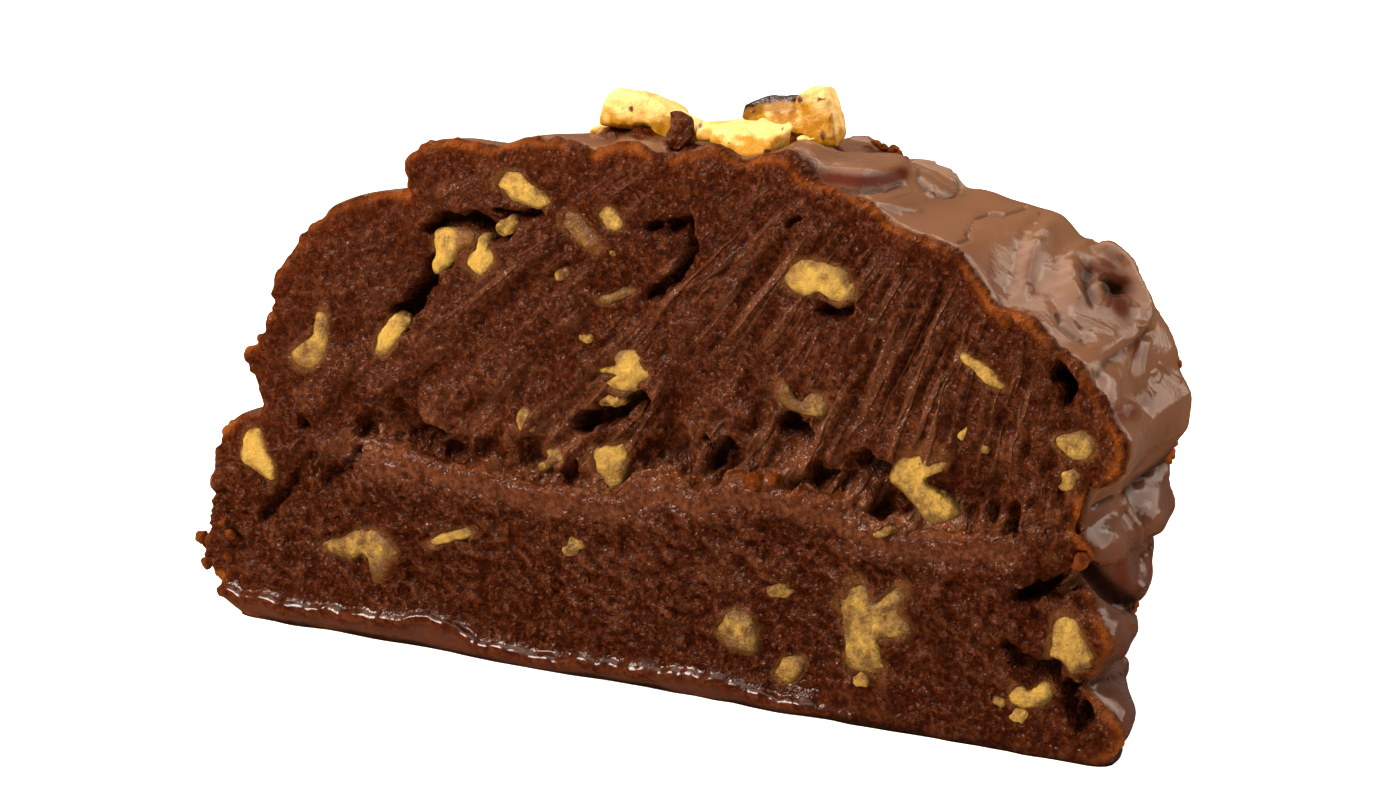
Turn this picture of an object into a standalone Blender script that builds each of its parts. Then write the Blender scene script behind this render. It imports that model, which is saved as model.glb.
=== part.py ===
"""Chocolate walnut fudge: one slice cut across a poured loaf, lying on its flat underside.

The slice stands with its cut face towards -Y, its width along X and its height along Z. The skin of
the loaf runs over its ends and top in soft folds. Chopped walnuts show in the cut face, each in a
pocket of its own, and a few larger pieces lie on top. Sizes are in millimetres until a mesh is made.
"""
import itertools
import math

import bmesh
import bpy
import numpy as np

# Driving dimensions of the slice, in millimetres
THICKNESS = 24.0            # cut face to back face
FRONT = -THICKNESS / 2
BACK = THICKNESS / 2
BELOW = 2.0                 # how far the blank reaches below the flat underside before it is cut
VOXEL = 1.0                 # grain of the blank's surface
BODY_FACES = 7300           # triangles of the slice before its pockets are cut
GAP = 0.3                   # clearance between a walnut and its pocket
SECOND_VOXEL = 0.9          # grain of the surface once it is shaped, which closes folds that meet
MERGE = 0.002               # points nearer than this are one point
POCKET_MOUTH = 3.0          # how far a pocket's cutter runs out in front of the cut face
METRE = 0.001

# The cut edge seen from the front, clockwise from the lower left, as (x, z)
CUT_OUTLINE = (
    (-49.5, -BELOW), (-50.0, 0.0), (-52.5, 0.5), (-54.5, 1.5), (-56.0, 3.0), (-55.5, 4.5), (-57.0, 4.7),
    (-58.5, 5.6), (-58.4, 7.0), (-60.2, 7.6), (-59.6, 8.4), (-58.0, 9.2), (-57.6, 12.0), (-56.8, 17.0),
    (-55.8, 20.2), (-54.4, 22.5), (-52.6, 24.4), (-49.8, 25.2), (-49.8, 27.0), (-51.0, 29.2), (-51.8, 31.4),
    (-50.5, 33.0), (-48.3, 35.2), (-47.2, 37.8), (-47.0, 40.5), (-46.0, 42.4), (-43.5, 45.7), (-41.0, 48.0),
    (-39.3, 49.7), (-35.0, 51.6), (-31.0, 52.7), (-28.0, 52.8), (-28.4, 54.6), (-28.6, 56.0), (-27.5, 57.5),
    (-25.5, 58.6), (-22.6, 59.4), (-19.5, 59.3), (-16.7, 59.0), (-14.7, 60.0), (-11.7, 60.5), (-8.4, 60.6),
    (-5.6, 60.5), (-3.0, 59.7), (-1.0, 60.7), (2.0, 61.0), (4.4, 60.1), (6.8, 59.9), (9.0, 60.6), (11.0, 61.5),
    (13.0, 61.0), (14.7, 60.2), (17.3, 61.1), (20.5, 61.0), (22.0, 59.2), (24.5, 58.6), (28.0, 58.1),
    (30.7, 57.0), (32.5, 55.4), (36.0, 54.5), (39.5, 53.6), (41.2, 52.2), (42.7, 50.4), (45.8, 47.4),
    (48.4, 46.9), (50.4, 45.8), (52.5, 43.7), (55.0, 42.7), (56.2, 40.5), (57.7, 37.8), (59.8, 35.6),
    (60.0, 33.8), (59.0, 31.3), (57.0, 29.9), (55.4, 28.5), (55.2, 26.4), (54.9, 25.0), (56.4, 23.6),
    (57.2, 22.5), (56.2, 21.0), (54.8, 20.2), (56.6, 19.2), (57.2, 17.2), (58.5, 14.9), (59.0, 13.3),
    (58.4, 11.3), (57.0, 9.0), (57.3, 7.5), (58.6, 6.1), (60.5, 4.6), (60.9, 3.4), (60.0, 1.9), (58.8, 1.0),
    (56.5, 0.0), (56.0, -BELOW))

# How the skin at the back face lies off the cut edge: at (x, z) it is moved by (dx, dz)
BACK_SHIFTS = (
    ((-58, 6), (3.0, 0.0)), ((-50, 31), (2.0, -1.0)), ((-40, 49), (1.5, -1.5)), ((-20, 59), (0.0, -3.0)),
    ((-6, 60), (0.0, -0.5)), ((5, 60), (0.0, -1.5)), ((25, 58), (0.0, 0.0)), ((36, 54), (0.0, 0.5)),
    ((45, 48), (0.5, 4.2)), ((52, 44), (0.5, 4.0)), ((56, 41), (0.0, 1.0)), ((60, 35), (-3.5, 0.0)),
    ((55, 26), (0.0, -0.5)), ((57, 17), (-3.0, 0.0)), ((58, 11), (-6.0, 0.0)), ((60, 4), (-8.5, 0.0)))
SHIFT_REACH = 5.0           # distance over which one of those shifts hands over to the next

# The ledge across the cut face, where the knife's second stroke left the lower part standing proud
LEDGE_LINE = ((-36, 21.0), (-32.5, 22.8), (-28, 23.4), (-23, 22.8), (-12, 22.4), (-2, 21.9), (3, 23.6),
              (6.5, 24.9), (11, 24.2), (15, 26.1), (19, 26.6), (22.5, 25.3), (27, 25.0), (31, 23.9),
              (34.5, 22.6), (38, 22.7), (44, 24.0), (49, 24.7), (54, 25.0))
LEDGE_ENDS = (-40.0, -32.0, 46.0, 55.0)     # x where the ledge starts, is full, starts to fade and ends
LEDGE_STEP = 0.45           # half the height over which the ledge's top turns into the wall above it
LEDGE_WANDER = (3.0, 0.5)   # size and height of the waves along its line
WALL_RECESS, WALL_FADE = 1.7, 10.0          # hollow above the ledge, and how high it reaches
SHOULDER, SHOULDER_FADE = 1.6, 8.0          # how far the ledge stands proud, and how low that reaches
EDGE_ROUND, EDGE_REACH = 0.9, 1.8           # how far its top edge is rounded back, and how low

# The lip along the foot of the cut face, where the base layer curls out
LIP_LINE = ((-56, 3.4), (-51.5, 3.0), (-44, 2.9), (-37, 3.2), (-30, 3.8), (-23, 3.9), (-19, 2.3), (-8, 2.1),
            (2.5, 2.8), (10, 3.4), (19, 2.2), (30, 0.8))
LIP_END = 31.0
LIP_BULGE, LIP_HEIGHT, LIP_DROP, LIP_FADE = 1.1, 1.5, 1.0, 12.0

# The knife dragged the soft fudge into ridges that fan out from one point above the slice
FAN_CENTRE = (65.0, 104.0)
FAN_RADIUS = 80.0           # where the ridges' spacing is measured
RIDGE_SPACING, RIDGE_LENGTH = 2.6, 26.0
RIDGE_HEIGHT, RIDGE_BELOW_LEDGE = 0.3, 0.12
RIDGE_NEAR_LEDGE, RIDGE_REACH = 0.8, 9.0    # how much they swell towards the ledge, and over what height
RIDGES_FROM, RIDGES_FULL = -46.0, -32.0     # x over which they fade in from the left
FACE_LUMPS = ((5.0, 0.35, 21), (2.4, 0.2, 22))      # size, height and pattern of the cut face's lumps
FACE_REACH = 5.0            # how deep the relief of the cut face and of the back reaches in
BACK_LUMPS = (4.0, 0.6)

# Cracks and holes in the cut face: route as (x, z), half width and depth
CREVICES = (
    (((-29, 38.5), (-26.5, 42), (-23.5, 46)), 1.5, 3.4),
    (((-25, 49.5), (-22.5, 50.5), (-18.5, 50.8), (-15.5, 49.5), (-14.2, 51.5)), 1.4, 2.6),
    (((3.5, 52), (8.8, 52.4), (8.7, 49), (6, 44.5), (2.5, 40.5)), 1.3, 2.0),
    (((-6, 29), (-1, 31.2), (3, 33.2)), 1.6, 3.2),
    (((52.8, 41.8), (54, 40.6), (53.8, 39.5)), 1.3, 4.0),
    (((49.5, 17.8), (53.6, 19.3), (58, 20.6)), 1.4, 3.6),
    (((47.4, 11.8), (49.2, 10.6), (53, 9.4)), 1.0, 1.8),
    (((55, 8.3), (56.2, 6.5), (57.2, 5)), 1.0, 2.6),
    (((-48.2, 13.3), (-45, 17.4), (-42.2, 21)), 1.2, 1.8),
    (((-40, 18.3), (-37.3, 20.8), (-35.7, 22.2)), 1.1, 1.8),
    (((20.5, 32.3), (22.5, 31.6)), 1.5, 2.2),
    (((29.5, 29.2), (32, 28.6)), 1.8, 2.2),
    (((11.5, 27.0), (13.5, 29.0)), 1.3, 2.2))

CREVICE_WOBBLE = (2.0, 0.3)

# Folds of the poured skin: route as (x, y, z), half width and height, a furrow when negative
SKIN_FOLDS = (
    # A thick tongue of the top layer, with a furrow along its foot and a thin run below it
    (((20, -12, 61), (21.2, -5.7, 60.2), (23, 1.6, 59), (25.8, 5, 58.3)), 2.6, 1.4),
    (((22, -12, 59.5), (24.5, -8, 58.8), (26.8, -3, 58), (28.5, 3, 57.4), (28, 7, 57.5)), 1.5, -0.9),
    (((24.6, -11.4, 58.4), (28, -10.7, 58), (31, -9.8, 56.8), (33, -9, 55.7)), 1.0, 0.4),
    (((29, 5, 57.2), (31, 7, 56.4)), 2.0, 0.6),
    # A valley and a broad ridge that bend down over the shoulder
    (((41.7, 4, 53.2), (42.6, -1, 51.7), (44, -5.8, 49.8), (44.8, -9.5, 48.6), (46.4, -10.8, 47.4)), 1.7, -1.0),
    (((43.4, 9.5, 53.3), (44.5, 4.5, 51.8), (45.6, 0, 50), (47.2, -5.8, 47.8)), 2.1, 1.0),
    (((45.5, 10.5, 51.4), (46.6, 4.2, 50), (48, -1.9, 48.2), (50.5, -6.2, 46.2)), 1.3, -0.7),
    # A wrinkled ring round a sunken hole, where a walnut lies just under the skin
    (((48.5, 0.3, 48.5), (47.2, 6, 49.7), (47.8, 10, 50.2), (50, 10.5, 49.4), (52.6, 10.5, 46.3),
      (53.8, 8, 44.7), (54.6, 4.5, 43.7), (53.5, 1.7, 44.7), (51.5, 0.2, 46)), 1.6, 1.3),
    (((50.2, 4.5, 48.2), (51.2, 7.5, 47.2)), 1.8, -3.0),
    (((50.8, 1.5, 47.2), (51.2, 3, 46.8)), 1.6, -1.2),
    (((52.6, 4, 45.6), (52.8, 5.5, 45.4)), 1.5, 1.2),
    # The end of the loaf: a furrow, a swirl and a bulge on its uppermost lobe
    (((55, 6, 42.6), (55.3, 1.8, 41.7), (55.4, -5.4, 42), (55.8, -10.3, 41.4)), 1.5, -1.4),
    (((55.9, 3.9, 39.7), (56.8, 3.4, 38.2), (57.8, 4.2, 36.6), (58, 6.8, 36.4)), 1.1, -0.6),
    (((58.6, -8, 37.1), (58.1, -3.5, 37)), 1.8, 0.7),
    # The crease under that lobe, and the two lobes below it
    (((55.3, -13, 27.8), (55.8, -7.4, 28.4), (55.5, -1.8, 28.2), (56.4, 4.2, 29.9), (57, 13, 31.5)), 1.7, -2.0),
    (((56.4, -9.5, 23.5), (55.6, -3.8, 25.4), (55.3, 0, 26.7)), 1.3, 0.9),
    (((56.8, -7, 22.3), (56.5, -3, 21.8)), 2.8, 0.8),
    (((55.4, -1.5, 27.3), (55.7, -0.7, 24.4), (55, 3, 21), (54, 7, 18.5), (53, 10.3, 16)), 1.4, 1.0),
    (((55.8, -2.4, 22.5), (55.4, 0.5, 19.8)), 1.3, -0.9),
    (((55.4, 6, 25), (55.6, 8, 20.5)), 3.5, 1.9),
    # A torn hollow, then the lowest block with a notch above its foot
    (((56.5, -9, 20), (55.5, -5, 19.3), (54.5, -1, 17.5), (54, 4, 15.5)), 2.3, -3.2),
    (((57.5, -8, 15), (56.5, -3, 13)), 3.5, 0.8),
    (((56.6, -8, 8.8), (56, -4, 8.2), (54.5, 1, 6.5), (53, 13, 4.5)), 1.6, -1.5),
    (((57.5, -7, 6), (56, -1, 4)), 2.5, 0.7),
    # Creases that run back from the notches of the left end
    (((-50, -9, 25.8), (-50.5, -3, 27.2), (-49, 5, 25.5), (-47.5, 13, 26.5)), 2.2, -1.5),
    (((-28.5, -9, 53.3), (-27, -4, 53.8), (-25, 4, 52.5), (-24, 13, 53.2)), 2.2, -1.4),
    (((-57.5, -9, 4.2), (-56, -3, 4.8), (-54.5, 5, 4), (-53, 13, 4.6)), 1.6, -1.5),
    (((-47, -9, 39), (-46.5, -4, 41), (-44, 3, 43), (-43, 13, 42)), 2.4, -0.9),
    (((-34, -2, 52), (-30, 4, 52.5), (-28, 10, 53)), 2.6, 0.8))
SKIN_LUMPS = ((12.0, 0.6), (5.0, 0.25))     # size and height of the skin's uneven swells
SKIN_FULLNESS = 0.4                         # makes up for what the blank's grain rounds off
DRIFT_SIZE, DRIFT = 15.0, 1.5               # how the lobes wander on their way to the back
DRIFT_FROM = 8.0                            # height at which the base starts to hold them in place

# Walnuts in the cut face: name, a middle that sees the whole outline, and the outline, as (x, z)
CUT_WALNUTS = (
    ("wedge", (-12.8, 55.2), (
        (-16.2, 56.1), (-15.2, 57.0), (-13.8, 57.5), (-12.4, 57.1), (-10.9, 55.9), (-9.6, 54.9), (-8.9, 54.0),
        (-9.6, 53.4), (-10.9, 53.2), (-12.6, 53.4), (-14.1, 53.8), (-14.9, 54.7), (-16.1, 55.2))),
    ("pair_left", (-22.8, 47.6), (
        (-24.6, 49.2), (-23.4, 49.7), (-21.5, 49.8), (-19.9, 49.7), (-19.2, 49.1), (-19.6, 48.2), (-20.8, 47.3),
        (-21.6, 46.6), (-22.4, 45.8), (-23.6, 44.5), (-24.9, 44.2), (-25.0, 45.3), (-24.7, 46.6), (-24.7, 48.0))),
    ("pair_right", (-18.3, 46.7), (
        (-18.9, 49.0), (-18.2, 49.5), (-17.2, 49.6), (-16.9, 49.0), (-17.2, 48.2), (-16.5, 47.8), (-16.1, 46.6),
        (-16.9, 45.7), (-17.6, 44.8), (-18.4, 44.4), (-19.6, 44.9), (-20.5, 45.6), (-20.4, 46.4), (-19.7, 47.2),
        (-19.0, 47.9))),
    ("brown_skinned", (-5.0, 51.0), (
        (-7.6, 52.4), (-7.0, 53.3), (-6.0, 53.4), (-5.0, 52.9), (-3.9, 51.9), (-2.9, 50.9), (-2.4, 50.0),
        (-2.7, 49.2), (-3.6, 48.8), (-4.6, 49.0), (-5.6, 49.6), (-6.7, 50.6), (-7.6, 51.5))),
    ("beside_brown", (-0.9, 53.0), (
        (-2.9, 53.4), (-2.2, 54.2), (-1.2, 54.7), (-0.3, 54.3), (0.4, 53.3), (0.8, 52.6), (0.5, 51.8),
        (-0.5, 51.4), (-1.5, 51.7), (-2.3, 52.6))),
    ("sliver", (-0.8, 44.2), (
        (-3.2, 43.9), (-2.3, 44.3), (-1.2, 44.7), (0.0, 45.2), (0.9, 45.4), (1.7, 45.1), (1.6, 44.6),
        (-0.3, 43.8), (-1.3, 43.3), (-2.5, 43.0), (-3.2, 43.2))),
    ("left_tall", (-41.2, 34.0), (
        (-44.5, 32.2), (-44.4, 33.4), (-43.3, 34.3), (-41.9, 35.1), (-41.2, 36.0), (-41.0, 37.2), (-40.6, 38.6),
        (-39.7, 38.9), (-39.1, 38.0), (-39.0, 36.6), (-39.1, 35.4), (-39.3, 34.2), (-39.9, 32.9), (-40.5, 31.9),
        (-41.6, 31.2), (-43.0, 31.0), (-44.2, 31.4))),
    ("left_round", (-30.9, 36.4), (
        (-31.7, 37.7), (-31.0, 38.6), (-30.0, 39.1), (-28.9, 39.0), (-28.2, 38.4), (-28.3, 37.7), (-29.0, 37.1),
        (-29.6, 36.4), (-30.0, 35.4), (-30.8, 34.5), (-31.6, 33.9), (-32.8, 33.8), (-33.3, 34.4), (-33.1, 35.4),
        (-32.8, 36.3), (-32.3, 37.0))),
    ("slotted", (1.0, 35.8), (
        (-3.5, 35.8), (-2.0, 36.3), (-1.0, 36.5), (-1.1, 37.4), (-0.6, 38.2), (0.4, 38.5), (1.5, 38.4),
        (2.4, 37.9), (3.3, 37.0), (4.0, 36.2), (3.7, 35.4), (2.9, 34.9), (2.0, 34.0), (0.9, 33.2), (-0.3, 33.2),
        (-1.3, 33.6), (-2.6, 34.2), (-1.4, 35.0), (-0.6, 35.4), (-2.0, 35.3))),
    ("upper_right_long", (24.6, 48.7), (
        (19.6, 48.6), (20.3, 49.6), (21.3, 50.6), (22.4, 51.0), (24.2, 51.1), (26.0, 50.8), (27.6, 50.3),
        (28.6, 49.4), (29.0, 48.2), (28.8, 47.2), (28.0, 46.5), (26.6, 46.4), (25.5, 47.0), (24.4, 47.3),
        (23.0, 46.8), (21.3, 47.1), (20.1, 47.8))),
    ("half_covered", (22.2, 34.5), (
        (19.1, 36.2), (19.7, 37.3), (20.6, 37.1), (21.5, 35.8), (22.3, 35.3), (23.0, 35.8), (23.6, 36.5),
        (24.8, 36.4), (25.6, 36.0), (26.0, 35.2), (26.0, 34.2), (25.0, 33.6), (23.5, 33.7), (22.0, 33.8),
        (20.7, 33.9), (19.8, 34.5), (19.4, 35.3))),
    ("right_long", (44.2, 41.2), (
        (41.2, 42.8), (41.8, 43.2), (42.9, 43.0), (44.0, 42.4), (45.2, 41.5), (46.4, 40.5), (47.3, 39.8),
        (46.9, 39.3), (45.6, 39.3), (44.6, 39.7), (43.6, 40.5), (42.5, 41.4), (41.5, 42.1))),
    ("left_lobe", (-49.8, 20.2), (
        (-50.9, 23.1), (-49.7, 23.3), (-48.8, 22.7), (-48.3, 21.6), (-48.0, 20.5), (-47.4, 19.2), (-47.3, 18.0),
        (-47.6, 17.2), (-48.4, 17.2), (-49.4, 17.6), (-50.7, 18.3), (-51.8, 18.9), (-52.2, 20.0), (-51.9, 21.3),
        (-51.6, 22.3))),
    ("low_arch", (-34.2, 11.2), (
        (-40.8, 10.4), (-39.8, 11.0), (-38.2, 11.5), (-37.0, 12.1), (-35.6, 12.9), (-34.0, 13.3), (-32.5, 13.3),
        (-31.0, 12.9), (-30.1, 11.9), (-30.0, 10.8), (-30.8, 9.8), (-31.4, 8.9), (-32.2, 7.8), (-33.0, 7.2),
        (-33.8, 7.6), (-34.0, 8.8), (-34.7, 9.6), (-35.7, 9.7), (-36.6, 9.0), (-38.0, 9.2), (-39.6, 9.6))),
    ("low_sliver", (-22.3, 14.0), (
        (-25.5, 12.9), (-24.8, 13.7), (-23.8, 14.4), (-22.5, 14.8), (-21.2, 15.2), (-20.0, 15.5), (-19.2, 15.2),
        (-19.0, 14.7), (-20.0, 14.2), (-21.3, 13.7), (-22.4, 13.2), (-23.6, 12.8), (-24.8, 12.5))),
    ("ledge_block", (-1.9, 25.0), (
        (-4.2, 26.7), (-3.0, 27.0), (-1.6, 27.5), (-0.6, 28.0), (0.2, 27.7), (0.4, 26.6), (0.2, 25.3),
        (-0.1, 24.0), (-0.5, 22.8), (-1.3, 22.0), (-2.2, 21.9), (-2.7, 22.6), (-3.4, 23.3), (-4.2, 24.0),
        (-4.5, 25.2))),
    ("ledge_dim", (-9.3, 24.6), (
        (-11.6, 23.6), (-10.7, 24.1), (-10.3, 24.8), (-10.6, 25.5), (-9.6, 26.2), (-8.6, 26.1), (-7.9, 25.4),
        (-7.6, 24.6), (-8.4, 24.0), (-9.4, 23.5), (-10.2, 23.0), (-11.2, 22.8))),
    ("hooked", (36.4, 28.2), (
        (32.9, 27.6), (33.0, 28.8), (33.6, 29.9), (34.7, 30.6), (36.0, 31.4), (37.4, 32.1), (38.8, 32.3),
        (39.9, 31.7), (40.1, 30.6), (39.5, 29.7), (37.7, 28.8), (37.3, 28.1), (37.9, 27.5), (39.2, 26.8),
        (40.6, 26.0), (41.4, 25.0), (40.6, 24.2), (39.2, 23.6), (37.8, 23.3), (36.8, 23.9), (36.0, 24.9),
        (35.0, 26.0), (33.8, 26.9))),
    ("right_oval", (54.9, 34.4), (
        (52.3, 34.9), (53.0, 35.4), (54.0, 35.8), (55.2, 36.0), (56.4, 35.8), (57.2, 35.2), (57.3, 34.3),
        (56.8, 33.4), (55.8, 32.9), (54.7, 32.8), (53.6, 33.3), (52.7, 34.0))),
    ("low_middle", (15.2, 8.5), (
        (12.3, 8.4), (12.9, 9.3), (13.3, 10.2), (14.2, 10.9), (15.6, 11.1), (16.5, 10.8), (17.1, 9.8),
        (17.5, 8.6), (17.7, 7.4), (17.6, 6.4), (16.4, 6.0), (15.0, 6.1), (13.8, 6.5), (12.8, 7.2))),
    ("low_middle_small", (21.5, 5.0), (
        (19.9, 5.3), (20.5, 6.2), (21.4, 6.6), (22.6, 6.8), (23.4, 6.6), (23.7, 5.9), (23.3, 5.2), (22.6, 4.4),
        (22.1, 3.6), (21.4, 3.2), (20.3, 3.3), (19.4, 3.9), (19.4, 4.6))),
    ("largest", (31.3, 12.0), (
        (27.4, 12.9), (27.6, 14.1), (28.2, 15.4), (29.0, 16.2), (30.0, 17.0), (31.2, 16.6), (31.5, 15.3),
        (32.1, 14.7), (33.2, 15.4), (34.4, 16.6), (35.4, 17.0), (36.2, 16.4), (35.9, 15.2), (35.2, 14.2),
        (35.4, 13.0), (36.2, 12.0), (36.2, 11.2), (35.0, 10.6), (33.6, 10.4), (32.6, 9.9), (32.8, 8.6),
        (33.3, 7.2), (33.4, 6.2), (31.6, 6.1), (30.0, 6.2), (28.6, 6.5), (28.4, 7.8), (28.3, 9.2), (28.0, 10.6),
        (28.1, 12.0))),
    ("right_block", (54.8, 13.0), (
        (53.6, 16.2), (54.4, 16.5), (55.3, 16.2), (55.9, 15.4), (56.5, 14.2), (57.1, 13.0), (57.6, 11.9),
        (57.2, 11.0), (56.6, 10.4), (55.9, 9.8), (55.0, 9.7), (54.4, 10.4), (53.7, 11.0), (52.3, 11.1),
        (52.3, 12.2), (52.5, 13.2), (52.7, 14.4), (52.9, 15.4))),
    ("right_low", (50.4, 6.4), (
        (48.2, 7.3), (48.9, 7.9), (49.6, 7.7), (50.1, 7.2), (50.7, 7.6), (51.2, 8.0), (52.2, 8.4), (53.0, 7.9),
        (52.8, 6.9), (52.3, 5.9), (51.3, 5.4), (50.2, 5.1), (49.0, 5.1), (48.1, 5.4), (48.0, 6.3))))
WALNUT_PROUD = 0.25         # how far a piece stands out of the cut face
WALNUT_DEPTH = (0.75, 5.0)  # a piece reaches in by this share of its length, and no further than this
RING_SHARES = (0.92, 1.0, 0.6)              # how wide a piece is at its face, near its face and at its back
WIDEST = 0.4                # how far in a piece is widest, as a share of its depth
TIP = 0.3                   # how far the rounded end stands out behind the last ring

# Pieces on the top: each is welded of blunt blocks, and a block is the hull of its corners, as (x, y, z)
TOP_PIECES = {
    "walnut_top_left": (
        ((-6.0, -6.4, 62.4), (-5.3, -6.6, 64.2), (-4.4, -6.4, 65.7), (-3.2, -6.2, 66.1), (-1.2, -6.4, 65.6),
         (0.2, -6.3, 65.5), (2.2, -6.4, 64.6), (3.1, -6.4, 63.9), (2.4, -6.4, 62.9), (0.5, -6.7, 63.1),
         (-3.0, -6.8, 62.9), (-5.0, -2.6, 61.4), (-4.0, -2.4, 65.2), (0.0, -2.2, 65.0), (3.0, -2.4, 63.8),
         (2.8, -2.6, 61.6)),
        ((0.8, -6.2, 63.2), (3.0, -6.2, 63.6), (2.3, -6.0, 61.2), (1.4, -6.2, 60.7), (1.1, -6.0, 61.6),
         (2.0, -4.0, 61.0), (2.6, -4.0, 63.4)),
        ((2.8, -6.0, 61.4), (2.8, -6.0, 64.0), (6.0, -6.0, 63.1), (6.3, -6.0, 62.2), (5.9, -6.0, 61.3),
         (3.0, -3.4, 61.2), (3.0, -3.4, 63.8), (5.9, -3.6, 62.9), (5.7, -3.6, 61.4))),
    "walnut_top_small": (
        ((-8.4, -4.6, 60.6), (-7.8, -4.8, 61.4), (-6.6, -4.7, 61.7), (-6.3, -4.6, 60.6), (-7.0, -3.2, 60.9),
         (-7.9, -3.4, 61.0), (-6.6, -3.5, 61.4)),),
    "walnut_top_middle": (
        ((10.4, -10.0, 62.2), (10.6, -10.0, 63.4), (13.4, -10.1, 63.1), (18.0, -9.9, 63.3), (17.8, -9.9, 61.5),
         (16.4, -10.0, 61.2), (14.3, -10.1, 60.9), (9.8, -6.4, 63.6), (13.0, -6.4, 64.1), (18.4, -6.6, 64.0),
         (18.2, -6.8, 62.0), (14.0, -6.6, 61.4), (10.0, -6.6, 62.2)),
        ((13.5, -10.0, 62.2), (16.2, -10.0, 61.6), (14.7, -10.0, 60.6), (13.9, -10.0, 60.3), (13.3, -9.8, 61.2),
         (13.8, -8.0, 60.6), (15.6, -8.0, 61.4)),
        ((17.8, -9.4, 63.3), (18.0, -9.4, 62.4), (19.6, -8.6, 64.2), (19.1, -8.2, 64.6), (17.8, -7.2, 64.1)),
        ((14.9, -7.6, 64.0), (16.2, -7.6, 64.1), (15.5, -7.4, 64.9), (15.4, -6.9, 64.0)),
        ((7.9, -8.2, 63.6), (7.8, -8.2, 62.1), (10.6, -8.4, 62.1), (10.6, -8.4, 63.5), (8.0, -6.0, 63.4),
         (8.2, -6.0, 61.8), (10.4, -6.0, 62.0), (10.4, -6.0, 63.6))),
    "walnut_top_right": (
        ((13.8, 2.6, 65.2), (14.8, 2.6, 66.1), (16.0, 2.8, 66.8), (17.1, 2.8, 66.8), (17.8, 2.6, 65.4),
         (18.5, 2.6, 62.4), (18.8, 2.8, 61.3), (17.0, 2.6, 61.2), (14.7, 2.5, 62.1), (13.6, 2.5, 63.5),
         (14.4, 6.2, 65.0), (16.6, 6.2, 66.2), (18.2, 6.2, 62.0), (14.6, 6.2, 61.6)),
        ((6.5, 4.0, 63.1), (6.8, 3.9, 63.8), (8.2, 3.8, 64.5), (10.2, 3.7, 65.1), (13.8, 3.6, 65.3),
         (13.8, 3.4, 63.0), (9.2, 3.8, 62.6), (7.2, 5.2, 63.2), (10.2, 5.6, 64.6), (13.8, 5.6, 64.8),
         (13.8, 5.6, 61.8), (9.4, 5.4, 62.0)),
        ((10.0, 2.6, 63.3), (12.0, 2.5, 63.9), (14.2, 2.5, 64.3), (14.4, 2.6, 62.5), (11.6, 2.6, 62.6),
         (10.2, 4.0, 63.2), (14.0, 4.0, 63.8), (14.0, 4.0, 62.2))),
    "fudge_crumb": (
        ((5.0, -9.2, 64.9), (5.5, -9.3, 65.0), (6.8, -9.2, 64.5), (7.3, -9.0, 63.8), (7.2, -9.0, 62.3),
         (5.0, -9.2, 62.6), (4.9, -9.2, 64.0), (5.4, -7.6, 64.5), (6.8, -7.6, 63.9), (6.8, -7.6, 62.4),
         (5.2, -7.6, 62.8)),
        ((7.1, -9.0, 62.8), (6.9, -9.0, 61.8), (6.3, -9.2, 61.0), (5.6, -9.3, 60.6), (4.6, -9.4, 61.3),
         (4.3, -9.2, 61.7), (4.8, -9.2, 62.8), (6.6, -7.4, 62.4), (6.0, -7.4, 60.9), (4.9, -7.4, 61.6),
         (5.2, -7.4, 62.8)))}
CORNER_ROUND = 0.3          # how blunt the corners of a top piece are
BED_MARGIN = 0.4            # clearance between a top piece and the skin that it beds in
TOP_VOXEL = 0.45
TOP_FACES = {"walnut_top_small": 60, "fudge_crumb": 130}
TOP_FACES_LARGE = 250

# Colours as sRGB hex, with roughness
FUDGE_FINISH = ("4A2315", 0.35)
WALNUT_FINISH = ("CDAF62", 0.6)
TOP_FINISH = ("F1D68C", 0.55)
CRUMB_FINISH = ("4F2413", 0.7)


def clear_scene():
    """Remove whatever the file holds."""
    for obj in list(bpy.data.objects):
        bpy.data.objects.remove(obj, do_unlink=True)


def linear(channel):
    """Turn one sRGB channel from 0 to 1 into linear light."""
    return channel / 12.92 if channel <= 0.04045 else ((channel + 0.055) / 1.055) ** 2.4


def material(name, finish):
    """Make a Principled material from an sRGB hex colour and a roughness."""
    colour, roughness = finish
    made = bpy.data.materials.new(name)
    made.use_nodes = True
    shader = made.node_tree.nodes["Principled BSDF"]
    channels = [linear(int(colour[i:i + 2], 16) / 255) for i in (0, 2, 4)]
    shader.inputs["Base Color"].default_value = (*channels, 1.0)
    shader.inputs["Roughness"].default_value = roughness
    shader.inputs["Metallic"].default_value = 0.0
    return made


def add_object(name, mesh, finish=None):
    """Link a mesh to the scene as an object with its material."""
    obj = bpy.data.objects.new(name, mesh)
    bpy.context.collection.objects.link(obj)
    if finish:
        mesh.materials.append(finish)
    return obj


def settle(obj):
    """Replace an object's mesh by what its modifiers make of it."""
    graph = bpy.context.evaluated_depsgraph_get()
    made = bpy.data.meshes.new_from_object(obj.evaluated_get(graph), depsgraph=graph)
    old = obj.data
    obj.modifiers.clear()
    obj.data = made
    bpy.data.meshes.remove(old)


def remesh(obj, voxel):
    """Give an object one even closed skin, with faces about a voxel wide."""
    modifier = obj.modifiers.new("Remesh", "REMESH")
    modifier.mode = "VOXEL"
    modifier.voxel_size = voxel * METRE
    settle(obj)


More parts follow.
